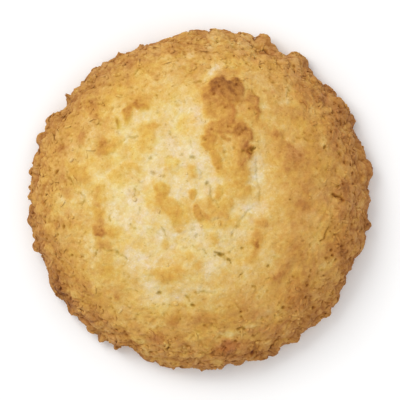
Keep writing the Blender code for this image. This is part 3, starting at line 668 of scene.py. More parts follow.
# the larger pits: x, y, radius mm, how much painted shade darkens them
PITS = (
    (19.3, 25.7, 0.40, 0.9), (12.3, 26.8, 0.35, 0.6), (27.0, 15.3, 0.30, 0.6), (28.4, 14.3, 0.30, 0.6),
    (28.3, 12.4, 0.30, 0.5), (31.1, 8.5, 0.30, 0.6), (30.4, -1.3, 0.30, 0.6),
    (20.1, 28.4, 0.45, 0.9), (18.9, 28.8, 0.40, 0.6), (18.9, 26.8, 0.30, 0.7),
    (21.2, 24.3, 0.45, 0.7), (23.8, 23.5, 0.30, 0.6), (26.3, 21.5, 0.30, 0.5),
    (27.1, 19.3, 0.30, 0.7), (27.9, 18.6, 0.30, 0.6), (27.1, 17.5, 0.30, 0.7),
    (28.2, 17.5, 0.30, 0.7), (28.7, 15.6, 0.35, 0.6), (26.7, 13.7, 0.30, 0.6),
    (30.7, 13.5, 0.40, 0.6), (25.4, 10.7, 0.45, 0.6), (27.9, 10.9, 0.35, 0.6),
    (28.5, 9.3, 0.50, 0.5), (31.0, 9.5, 0.30, 0.8), (29.5, 7.6, 0.30, 0.8),
    (30.9, 5.4, 0.35, 1.0), (31.1, 3.2, 0.30, 0.8), (29.1, 3.2, 0.40, 0.6),
    (31.3, 1.3, 0.30, 0.8), (31.3, -0.3, 0.30, 0.8), (34.2, 6.4, 0.50, 0.8),
    (18.3, 0.1, 0.30, 0.6), (13.9, -13.3, 0.40, 0.6), (26.7, -10.1, 0.45, 0.6),
    (29.7, -10.3, 0.40, 0.8), (26.9, -11.2, 0.35, 0.7), (25.6, -11.7, 0.40, 0.5),
    (27.6, -12.0, 0.35, 0.6), (19.0, -15.4, 0.30, 0.5), (22.2, -15.4, 0.35, 0.6),
    (21.8, -17.2, 0.40, 0.6), (21.5, -19.6, 0.40, 0.6), (26.6, -19.0, 0.50, 0.7),
    (23.0, -21.7, 0.40, 0.7), (16.9, -21.7, 0.50, 0.6), (14.4, -29.8, 0.50, 0.8),
    (10.6, -30.8, 0.50, 0.8), (19.7, -28.0, 0.50, 0.8), (10.9, -27.3, 0.40, 0.5),
    (0.9, -25.2, 0.40, 0.5), (5.0, -29.8, 0.40, 0.6), (7.2, -28.5, 0.35, 0.7),
    (6.9, -32.3, 0.40, 0.6), (9.6, -32.3, 0.40, 0.7), (-6.5, -29.8, 0.70, 0.5),
    (-5.0, -27.8, 0.35, 0.5), (-10.0, -30.6, 0.45, 0.6), (-14.9, -27.3, 0.35, 0.6),
    (-17.9, -27.1, 0.35, 0.7), (-15.4, -26.5, 0.30, 0.5), (-16.9, -29.6, 0.50, 0.7),
    (-19.9, -24.1, 0.45, 0.5), (-21.0, -21.1, 0.30, 0.5), (-26.4, -19.9, 0.40, 0.8),
    (-28.2, -17.7, 0.50, 0.8), (-27.9, -18.8, 0.40, 0.8), (-26.5, -21.1, 0.40, 0.7),
    (-25.2, -21.3, 0.30, 0.6), (-26.0, -11.1, 0.35, 0.7), (-31.9, -7.0, 0.30, 0.6),
    (-31.1, -7.8, 0.35, 0.6), (-33.3, -5.1, 0.30, 0.7), (-27.7, -5.4, 0.50, 0.5),
    (-28.9, -7.0, 0.35, 0.4), (-33.2, 4.3, 0.50, 0.9), (-29.0, 5.8, 0.40, 0.7),
    (-30.5, 6.0, 0.25, 0.6), (-29.5, 13.3, 0.30, 0.6), (-31.6, 12.3, 0.30, 0.7),
    (-20.6, 25.0, 0.35, 0.8), (-20.0, 26.6, 0.35, 0.6), (-18.4, 23.2, 0.30, 0.6),
    (-12.8, 28.2, 0.30, 0.6), (-14.9, 27.8, 0.30, 0.5), (-9.6, 31.2, 0.35, 0.6),
    (-16.5, 29.8, 0.30, 0.6), (-1.6, 32.1, 0.30, 0.7), (-0.4, 32.3, 0.35, 0.7),
    (0.8, 33.5, 0.30, 0.6), (3.5, 32.1, 0.35, 0.6), (-2.4, 31.5, 0.30, 0.6),
    (5.3, 27.6, 0.25, 0.5), (3.9, 22.9, 0.32, 0.7), (7.4, 23.3, 0.28, 0.8),
    (2.8, 21.4, 0.35, 0.5), (5.1, 18.6, 0.30, 0.5), (10.0, 18.4, 0.30, 0.6),
    (-0.8, 16.6, 0.25, 0.5), (-6.3, 21.3, 0.25, 0.5), (-8.8, 21.1, 0.25, 0.5),
    (-1.7, 18.2, 0.25, 0.4), (-6.9, 15.2, 0.25, 0.5), (8.5, -9.7, 0.40, 0.6),
    (4.0, -11.0, 0.60, 1.5), (5.7, -12.0, 0.42, 1.1), (3.0, -11.2, 0.30, 0.7),
    (6.0, -10.5, 0.30, 0.6), (-1.6, -21.2, 0.50, 0.7), (-0.7, -18.7, 0.30, 0.5),
    (-8.3, -18.8, 0.56, 0.65), (8.3, -22.5, 0.30, 0.7), (8.4, -23.5, 0.35, 0.5),
    (7.8, -26.0, 0.36, 0.6), (8.9, -25.9, 0.36, 0.6), (-1.4, 8.6, 0.60, 0.6),
    (1.4, 3.4, 0.55, 0.6), (-9.4, 5.4, 0.60, 0.35), (-7.3, 4.8, 0.45, 0.35),
    (-3.6, 9.2, 0.40, 0.45), (-6.1, 13.3, 0.35, 0.4), (-10.0, 8.4, 0.40, 0.4),
    (5.7, 14.8, 0.28, 0.6), (6.3, 14.8, 0.24, 0.5), (8.8, 14.1, 0.30, 0.6),
    (10.5, 10.1, 0.60, 1.3), (8.1, 13.3, 0.35, 0.5), (2.4, 14.3, 0.30, 0.5), (1.2, 12.1, 0.40, 0.5), (0.7, 12.5, 0.30, 0.4),
    (6.9, 10.5, 0.40, 0.35), (5.1, 9.7, 0.50, 0.30), (8.6, 9.9, 0.35, 0.6),
)

# stretches with a hue of their own: x, y, half along, half across, bearing,
# golden (+) or creamy (-), redder (+) or greener (-)
HUES = (
    # the golden shoulder on the left
    (-8.0, 16.5, 7.5, 4.6, -35, 0.55, 0.2), (-12.7, 18.8, 2.8, 1.3, 20, 0.8, 0.2),
    (-10.6, 13.8, 2.8, 1.5, 65, 0.9, 0.2), (-18.7, 10.8, 1.9, 1.9, 0, 0.7, 0.7),
    (-16.6, 7.0, 2.2, 1.3, 20, 0.6, 0.7), (-5.8, 7.5, 1.5, 1.4, 0, 1.0, 0.0),
    (-2.6, 5.8, 1.9, 1.1, 20, 0.9, 0.1), (-24.0, 5.5, 2.4, 1.1, 0, 0.9, 0.0),
    (-26.6, 10.6, 4.2, 2.6, 80, 0.4, 0.3), (-29.8, 7.4, 2.4, 1.2, 80, 0.6, 0.4),
    (-21.4, 17.6, 1.8, 1.5, 0, 0.1, 0.6), (-24.6, 17.6, 1.4, 1.0, 70, 0.2, 0.7),
    (-10.2, 24.6, 2.6, 1.0, 70, 0.5, 0.6), (-2.0, 22.0, 2.6, 1.2, 80, 0.5, 0.0),
    (-4.0, 27.8, 4.6, 1.0, 8, 0.1, 0.8), (-14.0, 26.8, 3.0, 1.2, 20, 0.2, 0.5),
    (3.6, 26.8, 0.9, 0.8, 0, 0.3, 0.9), (5.8, 26.6, 1.0, 0.8, 90, 0.6, 0.2),
    # the ridge
    (2.2, 22.6, 1.7, 1.3, 80, 0.5, 0.5), (6.2, 18.2, 4.0, 2.0, -80, 0.5, 0.4),
    (3.4, 14.0, 3.6, 1.8, 0, 0.1, 0.4), (1.9, 12.0, 1.8, 1.5, 70, 0.9, 0.5),
    (3.4, 8.2, 2.6, 1.0, -72, 0.7, 0.2), (8.9, 9.6, 1.5, 0.9, 30, 0.9, 0.3),
    (8.2, 4.0, 2.8, 2.0, 90, 0.4, 0.2), (5.7, 4.0, 1.7, 0.8, 90, 0.3, 0.7),
    # the middle
    (-8.0, 1.3, 2.8, 1.8, -30, 0.8, 0.2), (-4.4, -2.4, 3.6, 2.2, -45, 0.6, 0.3),
    (1.2, -2.3, 4.6, 1.9, -10, 0.5, 0.5), (-12.0, -7.8, 2.3, 1.2, 0, 0.7, 0.1),
    (-20.2, -6.8, 1.3, 0.9, 0, 0.7, 0.9), (-17.2, -7.4, 2.0, 1.3, 70, 0.2, 0.4),
    (-16.2, -2.4, 2.0, 1.2, 80, 0.3, 0.4), (-4.8, -14.3, 1.3, 0.8, 10, 0.3, 0.7),
    (-0.6, -15.9, 7.4, 0.8, -3, 0.5, 0.1), (11.4, -9.3, 2.2, 0.9, 72, 0.6, 0.1),
    # the right and the near side
    (15.2, 12.4, 1.4, 0.9, -30, 0.6, 0.3), (20.4, 9.1, 2.2, 1.4, 20, 0.1, 0.6),
    (28.5, 0.6, 1.3, 0.9, -10, 0.7, 0.0), (19.6, -19.6, 3.0, 1.5, 40, 0.6, 0.7),
    (27.0, -10.4, 2.3, 1.1, 80, 0.5, 0.4), (18.0, -6.0, 3.2, 1.6, 20, 0.0, 0.4),
    (20.9, 20.2, 1.2, 0.9, 90, 0.5, 0.3), (0.6, -24.3, 2.3, 1.2, 0, 0.8, 0.0),
    (-8.7, -27.7, 1.5, 1.0, 0, 0.9, 0.6), (-5.3, -24.6, 1.3, 1.0, 0, 0.5, 0.0),
    (5.7, -29.3, 2.6, 1.1, 15, 0.6, 2.6),
    # creamier and greener
    (11.4, 5.2, 3.6, 1.3, -84, -1.5, -1.0), (10.5, 9.9, 1.5, 0.9, 0, 0.6, 1.2), (12.6, 10.8, 2.0, 1.2, -84, -1.1, -0.5),
    (9.6, -1.3, 2.6, 1.0, 0, -1.2, -0.3),
    (8.3, -4.2, 2.6, 0.9, 55, -0.6, -0.9), (-1.2, 18.4, 2.0, 1.2, -20, -0.8, 0.0),
    (-0.6, 13.8, 3.2, 0.9, 75, -1.0, -0.7), (-1.6, 8.9, 1.1, 0.9, 90, -1.4, -0.9),
    (0.4, 5.2, 2.0, 0.8, -55, -0.8, -0.9), (2.3, 3.0, 1.8, 0.9, -75, -1.1, -0.8),
    (2.7, 25.3, 2.0, 0.9, 15, -1.0, -0.3), (-16.7, 14.3, 1.6, 0.8, 82, -1.1, -0.8),
    (-14.4, 13.0, 0.9, 0.8, 0, -0.9, -0.3), (-5.5, 12.6, 1.2, 0.7, 90, -1.0, -0.4),
    (-23.4, 1.5, 2.4, 1.6, -15, -0.8, -0.8), (-13.0, 1.9, 1.5, 1.0, 80, -0.8, -0.9),
    (-9.2, 4.6, 1.6, 1.2, 20, -0.5, -0.5), (-7.4, -6.4, 1.4, 0.9, -15, -1.2, -0.9),
    (-12.7, -5.8, 1.5, 0.8, -20, -0.4, -0.8), (-1.0, -6.7, 2.5, 1.2, 84, -1.1, -0.8),
    (2.6, -10.9, 3.2, 1.1, -12, -1.7, -1.0), (5.7, -12.8, 1.8, 1.0, -70, -0.5, -1.0),
    (6.0, -6.8, 1.0, 0.8, 80, -0.8, -0.3), (-20.9, -11.3, 1.3, 1.0, 45, -1.2, -0.3),
    (-14.6, -11.3, 4.6, 1.1, 0, -0.9, -0.5), (-10.6, -15.0, 1.8, 1.0, 80, -0.6, -0.7),
    (-8.4, -17.6, 2.5, 1.0, 85, -1.4, -0.9), (-2.6, -18.5, 3.8, 1.2, 0, -1.5, -1.0),
    (8.2, -14.4, 1.9, 1.3, -30, -1.0, -0.3), (17.2, 19.6, 1.6, 1.2, 0, -0.7, -0.6),
    (24.0, 17.8, 2.0, 1.4, 0, -0.8, -0.4), (12.2, 24.0, 1.3, 0.9, 80, -0.7, -0.4),
    (17.6, 13.4, 2.2, 1.0, -10, -0.6, -0.3), (12.8, 19.2, 1.9, 1.0, 80, -0.6, -0.5),
    (21.2, 12.2, 1.8, 1.0, -20, -0.2, -0.8), (13.4, -22.0, 2.2, 1.1, 25, -0.8, -0.7),
    (11.2, -24.6, 1.8, 0.9, 70, -1.0, -1.0), (6.4, -26.4, 2.6, 1.0, 12, -1.0, -1.1),
    (-17.5, -21.9, 3.4, 1.4, 12, -0.7, -0.7), (-11.9, -28.3, 1.8, 0.9, -6, -0.8, -1.2),
    (-2.4, -28.6, 1.5, 1.3, 0, -0.4, -0.8), (25.4, -13.9, 2.2, 1.6, -10, -0.8, -0.9),
    (23.8, -8.2, 1.4, 1.0, 80, -0.3, -0.7), (-27.6, -8.2, 2.6, 1.9, -10, -0.6, -0.6),
    (20.0, 2.2, 2.4, 1.1, 80, -0.6, 0.0), (-17.5, -17.0, 1.4, 1.3, 0, -0.6, 0.0),
    (-22.3, -6.0, 1.9, 0.8, 80, -0.7, -0.3), (-9.2, 29.5, 2.8, 1.0, 12, -0.7, 0.0),
    (9.6, 31.0, 2.6, 1.1, -12, -0.7, -0.2), (-12.0, -22.5, 5.0, 2.2, 5, 0.0, -0.3),
)

warp_a = np.stack([noise(P0, 2.6, 41), noise(P0, 2.6, 42)], 1)
warp_b = np.stack([noise(P0, 1.1, 43), noise(P0, 1.1, 44)], 1)
warp_c = np.stack([noise(P0, 0.8, 45), noise(P0, 0.8, 46)], 1)
CRACK_U = U + 0.40 * warp_b[:, 0] + 0.22 * warp_c[:, 0]
CRACK_V = V + 0.40 * warp_b[:, 1] + 0.22 * warp_c[:, 1]
FRAY = 0.26 * noise(P0, 1.3, 47) + 0.20 * noise(P0, 0.65, 48)
BLOTCH = 1.0 + 0.30 * noise(P0, 1.0, 49)


def local_view(x, y):
    """Offsets of every skin point from a place, in mm as seen from above."""
    x, y = on_dome(x, y)
    r = max(math.hypot(x, y), 1e-6)
    s = float(length_at(r))
    k = float((length_at(r + 0.2) - length_at(max(r - 0.2, 0.0)))
              / (min(r + 0.2, RIM_RADIUS - 0.05) - max(r - 0.2, 0.0)))
    k = min(max(k, 1.0), 2.6)
    ex, ey = x / r, y / r
    du, dv = U - ex * s, V - ey * s
    out = (du * ex + dv * ey) / k
    along = (-du * ey + dv * ex) * (r / s if s > 0.5 else 1.0)
    return out * ex - along * ey, out * ey + along * ex


def patch(x, y, a, b, bearing, soft_in=0.72, soft_out=1.20, ragged=1.0):
    """1 inside an oval with ragged soft edges, 0 outside it."""
    dx, dy = local_view(x, y)
    reach = 1.6 * max(a, b) + 1.0
    near = (np.abs(dx) < reach) & (np.abs(dy) < reach) & on_top
    out = np.zeros(len(S))
    if not near.any():
        return out
    dx = dx[near] + ragged * (0.60 * warp_a[near, 0] + 0.40 * warp_b[near, 0])
    dy = dy[near] + ragged * (0.60 * warp_a[near, 1] + 0.40 * warp_b[near, 1])
    c, s = math.cos(math.radians(bearing)), math.sin(math.radians(bearing))
    d = np.hypot((dx * c + dy * s) / a, (-dx * s + dy * c) / b)
    out[near] = 1.0 - smooth(soft_in, soft_out, d)
    return out


def smear(discs, soft, lift):
    """1 inside a chain of discs that run together, 0 outside it, frayed between,
    with a faint wide halo; what is lifted off the dome is seen further out."""
    discs = [((x - GRID_MIDDLE[0]) * GRID, (GRID_MIDDLE[1] - y) * GRID, r * GRID) for x, y, r in discs]
    x0 = min(x - r for x, y, r in discs) - 3.0
    x1 = max(x + r for x, y, r in discs) + 3.0
    y0 = min(y - r for x, y, r in discs) - 3.0
    y1 = max(y + r for x, y, r in discs) + 3.0
    near = np.nonzero((SEEN_X > x0) & (SEEN_X < x1) & (SEEN_Y > y0) & (SEEN_Y < y1) & on_top)[0]
    px = SEEN_X[near] + lift * crown[near] * N0[near, 0]
    py = SEEN_Y[near] + lift * crown[near] * N0[near, 1] / SHORT_Y
    best = np.full(len(near), 99.0)
    for (xa, ya, ra), (xb, yb, rb) in zip(discs, discs[1:]):
        tx, ty = xb - xa, yb - ya
        t = np.clip(((px - xa) * tx + (py - ya) * ty) / max(tx * tx + ty * ty, 1e-6), 0.0, 1.0)
        d = np.hypot(px - xa - t * tx, py - ya - t * ty) - (ra + t * (rb - ra))
        best = np.minimum(best, d)
    out = np.zeros(len(S))
    best = best + FRAY[near]
    out[near] = 0.74 * (1.0 - smooth(-soft, soft, best)) + 0.26 * (1.0 - smooth(-1.6 * soft, 3.4 * soft, best))
    return out


mounds = np.zeros(len(S))
for x, y, a, b, bearing, height in MOUNDS:
    mounds += height * patch(x, y, a, b, bearing, 0.2, 1.5, 0.6)
# what lies on a mound's slope is carried outward with it
broad = rolling + crown * mounds
plan = plan_of(broad)
SEEN_X = plan[0] + 0.35 * warp_a[:, 0] + 0.25 * warp_b[:, 0]
SEEN_Y = plan[1] + 0.35 * warp_a[:, 1] + 0.25 * warp_b[:, 1]

baked = np.zeros(len(S))
most = np.zeros(len(S))
warm = np.zeros(len(S))
gold = np.zeros(len(S))
raised = np.zeros(len(S))
for x, y, a, b, bearing, amount, red in PATCHES:
    shape = patch(x, y, a, b, bearing, 0.15, 1.55)
    baked += amount * shape
    warm += red * shape
    raised += amount * shape
red_most = np.zeros(len(S))
gold_most = np.zeros(len(S))
for amount, red, golden, soft, *discs in SMEARS:
    shape = smear(discs, soft, 1.1 * min(max(amount, -0.25), 0.5))
    if amount > 0:
        # smears that overlap meet at the stronger one
        over = shape * amount > most
        red_most = np.where(over, red * shape, red_most)
        gold_most = np.where(over, golden * shape, gold_most)
        most = np.maximum(most, amount * shape)
    else:
        baked += amount * shape
        warm += red * shape
        gold += golden * shape
for x, y, a, b, bearing, golden, red in HUES:
    shape = patch(x, y, a, b, bearing, 0.20, 1.50, 0.6)
    gold += 0.85 * golden * shape
    warm += 0.75 * red * shape
baked += most * BLOTCH
warm += red_most
gold += gold_most
raised = 1.1 * crown * np.clip(raised + most, -0.25, 0.5)
plan = plan_of(broad + raised)


def groove(points, width):
    """1 on a crack's line, falling to 0 at its half width, tapering at its ends."""
    places = [spread_xy(*on_dome(x, y)) for x, y in points]
    best = np.zeros(len(S))
    lengths = [math.dist(p, q) for p, q in zip(places, places[1:])]
    whole = sum(lengths)
    gone = 0.0
    for (p, q), length in zip(zip(places, places[1:]), lengths):
        near = ((CRACK_U > min(p[0], q[0]) - 1.0) & (CRACK_U < max(p[0], q[0]) + 1.0)
                & (CRACK_V > min(p[1], q[1]) - 1.0) & (CRACK_V < max(p[1], q[1]) + 1.0) & on_top)
        cu, cv = CRACK_U[near], CRACK_V[near]
        tx, ty = (q[0] - p[0]) / length, (q[1] - p[1]) / length
        t = np.clip((cu - p[0]) * tx + (cv - p[1]) * ty, 0.0, length)
        d = np.hypot(cu - p[0] - t * tx, cv - p[1] - t * ty)
        f = (gone + t) / whole
        wide = width * (0.55 + 0.45 * np.sin(np.pi * np.clip(f, 0.02, 0.98)) ** 0.5)
        best[near] = np.maximum(best[near], np.clip(1.0 - d / wide, 0.0, 1.0))
        gone += length
    return best


broken = smooth(-0.70, 0.45, noise(P0, 0.9, 61))
cut = np.zeros(len(S))          # depth of cracks and pits
painted_shade_and_blotch = np.zeros(len(S))         # painted shade of cracks, pits and crevices: how much it darkens the crust (on the base, its blotches)
for depth, width, shade, *places in CRACKS:
    g = groove(places, width * (0.88 if shade >= 0.8 else 1.02))
    shade = shade * (0.70 + 0.60 * float(smooth(13.0, 29.0, np.hypot(*places[0]))))
    whole = broken if shade < 1.0 else np.maximum(broken, 0.9)      # the hole isn't broken up
    cut = np.maximum(cut, (0.85 if shade >= 0.8 else 0.66) * depth * smooth(0.0, 1.0, g) * (0.5 + 0.5 * whole))
    # painted shade along the crack, besides the shade its groove casts
    painted_shade_and_blotch = np.maximum(painted_shade_and_blotch, shade * whole * g ** 1.2)

# ---- stamps on the skin: pits, shreds and grains -------------------------------------------
tree = kdtree.KDTree(int(on_top.sum()))
for i in np.nonzero(on_top)[0]:
    tree.insert((U[i], V[i], 0.0), int(i))
tree.balance()


def around(cu, cv, reach):
    """Skin points near a place, and their offsets from it in true mm."""
    s = math.hypot(cu, cv)
    true = float(np.interp(s, OUT_S, OUT_R)) / max(s, 0.5)
    found = tree.find_range((cu, cv, 0.0), reach / max(true, 0.6))
    if not found:
        return None, None, None
    index = np.array([f[1] for f in found])
    du, dv = U[index] - cu, V[index] - cv
    ex, ey = cu / max(s, 1e-6), cv / max(s, 1e-6)
    out, along = du * ex + dv * ey, (-du * ey + dv * ex) * true
    return index, out * ex - along * ey, out * ey + along * ex


def stamp_pit(cu, cv, radius, depth, shade, rng, longest=2.2):
    index, dx, dy = around(cu, cv, radius * 1.8)
    if index is None:
        return
    lean = rng.random() * math.pi
    long = rng.uniform(1.0, longest)
    a = (dx * math.cos(lean) + dy * math.sin(lean)) / (radius * long)
    b = (-dx * math.sin(lean) + dy * math.cos(lean)) / (radius / long ** 0.5)
    d = np.hypot(a, b) * (1.0 + 0.5 * warp_c[index, 0])
    shape = np.clip(1.15 - d, 0.0, 1.0)
    cut[index] = np.maximum(cut[index], depth * smooth(0.0, 1.0, shape))
    # painted shade in the pit
    painted_shade_and_blotch[index] = np.maximum(painted_shade_and_blotch[index], shade * shape ** 0.8)


rng = np.random.default_rng(7)
for x, y, radius, shade in PITS:
    cu, cv = spread_xy(*on_dome(x, y))
    outside = float(smooth(13.0, 29.0, np.hypot(x, y)))
    stamp_pit(float(cu), float(cv), radius * (0.78 + 0.12 * outside), 0.7 * radius,
              shade * (0.72 + 0.62 * outside), rng, 1.4)

# many small pits, closer together towards the rim
edge = lambda s: float(smooth(16.0, 34.0, np.array(s)))
for k in range(2600):
    s = FOOT_S * math.sqrt(rng.random())
    t = rng.random() * 2 * math.pi
    if rng.random() > 0.05 + 0.95 * edge(s):
        continue
    radius = rng.uniform(0.15, 0.27) + 0.12 * rng.random() ** 4
    stamp_pit(s * math.cos(t), s * math.sin(t), radius, radius * rng.uniform(0.5, 1.0),
              rng.uniform(0.10, 0.42) * (0.5 + 0.55 * edge(s)), rng)

# short fine cracks that wander
for k in range(120):
    s = FOOT_S * math.sqrt(rng.random()) * 0.97
    t = rng.random() * 2 * math.pi
    heading = rng.random() * 2 * math.pi
    cu, cv = s * math.cos(t), s * math.sin(t)
    length = rng.uniform(0.8, 3.0)
    shade = rng.uniform(0.08, 0.22) * (0.3 + 0.9 * edge(s))
    deep = 0.22 * (0.45 + 0.55 * edge(s))
    steps = max(2, int(length / 0.22))
    for j in range(steps):
        heading += rng.normal(0.0, 0.35)
        cu += 0.22 * math.cos(heading)
        cv += 0.22 * math.sin(heading)
        if math.hypot(cu, cv) > FOOT_S - 0.3:
            break
        thin = math.sin(math.pi * (j + 0.7) / (steps + 0.4))
        index, dx, dy = around(cu, cv, 0.42)
        if index is None:
            continue
        shape = np.clip(1.0 - np.hypot(dx, dy) / 0.34, 0.0, 1.0) * thin
        cut[index] = np.maximum(cut[index], deep * shape)
        # painted shade along the fine crack
        painted_shade_and_blotch[index] = np.maximum(painted_shade_and_blotch[index], shade * shape)

# shreds that lie in the skin, and light grains
rng = np.random.default_rng(20)
shred_height = np.zeros(len(S))
fleck = np.zeros(len(S))
for k in range(3000):
    s = FOOT_S * math.sqrt(rng.random())
    t = rng.random() * 2 * math.pi
    along = rng.uniform(0.6, 1.9)
    across = rng.uniform(0.24, 0.46)
    tall = rng.uniform(0.05, 0.18) * (0.6 + 0.9 * edge(s))
    lean = rng.random() * math.pi
    tone = rng.uniform(-1, 1)
    index, dx, dy = around(s * math.cos(t), s * math.sin(t), along * 1.1)
    if index is None:
        continue
    a = (dx * math.cos(lean) + dy * math.sin(lean)) / along
    b = (-dx * math.sin(lean) + dy * math.cos(lean) + 0.25 * along * (a * a - 0.3)) / across
    d = a * a * a * a + b * b
    height = tall * np.sqrt(np.clip(1 - d, 0, 1))
    shred_height[index] = np.maximum(shred_height[index], height)
    fleck[index] = np.where(d < 1, tone, fleck[index])
for k in range(2600):
    s = FOOT_S * math.sqrt(rng.random())
    t = rng.random() * 2 * math.pi
    radius = rng.uniform(0.18, 0.42)
    index, dx, dy = around(s * math.cos(t), s * math.sin(t), radius)
    if index is None:
        continue
    shape = np.sqrt(np.clip(1 - (dx * dx + dy * dy) / radius ** 2, 0, 1))
    shred_height[index] = np.maximum(shred_height[index], 0.5 * radius * shape * rng.uniform(0.3, 1.0))
    fleck[index] = np.where(shape > 0.2, rng.uniform(-1.6, 0.4), fleck[index])

# ---- the shape -----------------------------------------------------------------------
side = smooth(0.80, 0.985, R0 / RIM_RADIUS) * on_top

bent = P0 + 0.55 * np.stack([noise(P0, 2.4, 51), noise(P0, 2.4, 52), noise(P0, 2.4, 53)], 1)
knob_near, knob_next, knob_own = cells(bent, 3.3, 9)
crumb_near, crumb_next, crumb_own = cells(bent, 1.55, 13)
grain_near, grain_next, grain_own = cells(P0 + 0.15 * bent, 0.80, 17)
knob = 1.0 - np.minimum(knob_near / 0.72, 1.25) ** 2
crumb = 1.0 - np.minimum(crumb_near / 0.72, 1.25) ** 2
gap_knob = 1.0 - smooth(0.01, 0.13, knob_next - knob_near)
gap_crumb = 1.0 - smooth(0.01, 0.17, crumb_next - crumb_near)
gap_grain = 1.0 - smooth(0.02, 0.26, grain_next - grain_near)

relief = broad + raised
relief += on_top * ((0.05 + 0.42 * side) * (knob - 0.45)
                    + (0.07 + 0.15 * side) * (crumb - 0.45)
                    - (0.02 + 0.12 * side) * gap_knob - (0.03 + 0.05 * side) * gap_crumb
                    - 0.02 * gap_grain
                    + (0.035 + 0.015 * side) * layered(P0, 0.9, 21, 2))
relief += shred_height - cut

push = rim_push(BEARING, Z0) * side
P = P0 + N0 * np.where(on_top, relief, 0.0)[:, None]
P[:, 0] += COS * np.where(on_top, push, 0.0)
P[:, 1] += SIN * np.where(on_top, push, 0.0)

# The widest points follow the outline: the wall moves in or out round the
# level where it is widest.
TURNS = 720
bins = np.floor((BEARING % 360.0) / 360.0 * TURNS).astype(int) % TURNS
middle = (np.arange(TURNS) + 0.5) * 360.0 / TURNS
want = rim_outline(middle)
rim_zone = np.nonzero(on_top & (R0 > 0.86 * RIM_RADIUS))[0]


def spread_round(values, reach):
    """Mean over neighbouring bearings."""
    out = np.zeros(TURNS)
    for k in range(-reach, reach + 1):
        out += np.roll(values, k)
    return out / (2 * reach + 1)


for go in range(6):
    radius = np.hypot(P[rim_zone, 0], P[rim_zone, 1])
    order = np.argsort(radius)
    widest = np.zeros(TURNS)
    level = np.zeros(TURNS)
    own = bins[rim_zone][order]
    widest[own] = radius[order]
    level[own] = P[rim_zone, 2][order]
    level = spread_round(level, 4)
    extra = want - widest
    near = np.interp(BEARING, middle, extra, period=360.0)
    high_at = np.interp(BEARING, middle, level, period=360.0)
    weight = np.exp(-((P[:, 2] - high_at) / 1.9) ** 2) * smooth(0.84, 0.97, R0 / RIM_RADIUS) * on_top
    P[:, 0] += COS * near * weight
    P[:, 1] += SIN * near * weight
print("outline within", round(float(np.abs(extra).max()), 3), "mm")

# the base follows the foot
foot = np.nonzero(np.abs(S - FOOT_S) < 1e-6)[0]
foot_moved = np.hypot(P[foot, 0], P[foot, 1]) - R0[foot]
moved = np.interp(BEARING, BEARING[foot], foot_moved, period=360.0)
moved = np.where(under, moved * smooth(0.70, 1.0, R0 / FOOT_RADIUS), 0.0)
P[:, 0] += COS * moved
P[:, 1] += SIN * moved
P[:, 2] = np.where(on_top, np.maximum(P[:, 2], 0.0), 0.0)
P[foot, 2] = 0.0

# shallow blisters in the underside
base_points = np.nonzero(under)[0]
hollow_base = np.zeros(len(S))
for k in range(70):
    r = FOOT_RADIUS * 0.93 * math.sqrt(rng.random())
    t = rng.random() * 2 * math.pi
    radius = rng.uniform(0.8, 2.4)
    deep = rng.uniform(0.10, 0.38)
    d = np.hypot(P0[base_points, 0] - r * math.cos(t), P0[base_points, 1] - r * math.sin(t))
    d = d * (1.0 + 0.35 * noise(P0[base_points], 1.8, 77))
    hollow_base[base_points] = np.maximum(hollow_base[base_points], deep * (1 - smooth(0.5, 1.0, d / radius)))
P[:, 2] += np.where(under, hollow_base, 0.0)

# ---- browning, with painted shade in the crevices ------------------------------------
RIM_TONE = (                            # bearing, half width, more or less baked
    (80.0, 45.0, -0.08), (180.0, 30.0, -0.03), (248.0, 25.0, -0.05), (345.0, 40.0, 0.02),
    (205.0, 22.0, 0.06), (330.0, 16.0, -0.02), (62.0, 16.0, -0.03),
)
RIM_HUE = (                             # bearing, half width, golden, redder
    (72.0, 34.0, -0.7, -0.3), (135.0, 26.0, -0.4, -0.6), (180.0, 20.0, 0.3, 0.0),
)
PALE_X, PALE_Y = -4.0, 2.5              # the palest part lies off the middle
off = np.hypot(P0[:, 0] - PALE_X * (1 - (R0 / RIM_RADIUS) ** 4),
               P0[:, 1] - PALE_Y * (1 - (R0 / RIM_RADIUS) ** 4)) / RIM_RADIUS
wall_down = 1.0 - smooth(0.0, RIM_LEVEL + 5.0, Z0)
brown = np.interp(off, [0.0, 0.30, 0.48, 0.62, 0.74, 0.86, 0.95, 1.0],
                  [0.16, 0.18, 0.26, 0.36, 0.46, 0.55, 0.61, 0.66])
for place, width, amount in RIM_TONE:
    brown += amount * bell(turn(BEARING, place), width) * smooth(0.72, 0.95, R0 / RIM_RADIUS)
for place, width, golden, red in RIM_HUE:
    near = bell(turn(BEARING, place), width) * smooth(0.80, 0.96, R0 / RIM_RADIUS)
    gold += golden * near
    warm += red * near
brown += 0.06 * wall_down
brown += baked
swirl = P0 + 0.5 * np.stack([noise(P0, 1.6, 81), noise(P0, 1.6, 82), noise(P0, 1.6, 83)], 1)
tone_big = flakes(swirl, 2.9, 91)
tone_mid = flakes(swirl, 1.5, 92)
tone_small = flakes(P0 + 0.4 * swirl, 0.95, 93)
outer = smooth(0.45, 0.85, R0 / RIM_RADIUS)
brown += 0.05 * layered(P0, 6.0, 31, 2)
brown += (0.05 + 0.06 * outer) * tone_big + (0.06 + 0.03 * outer) * tone_mid + 0.06 * tone_small
brown += 0.03 * (knob_own - 0.5) + 0.05 * (crumb - 0.4) * side
brown += 0.025 * fleck
patchy = smooth(-0.6, 0.6, noise(P0, 2.2, 95))
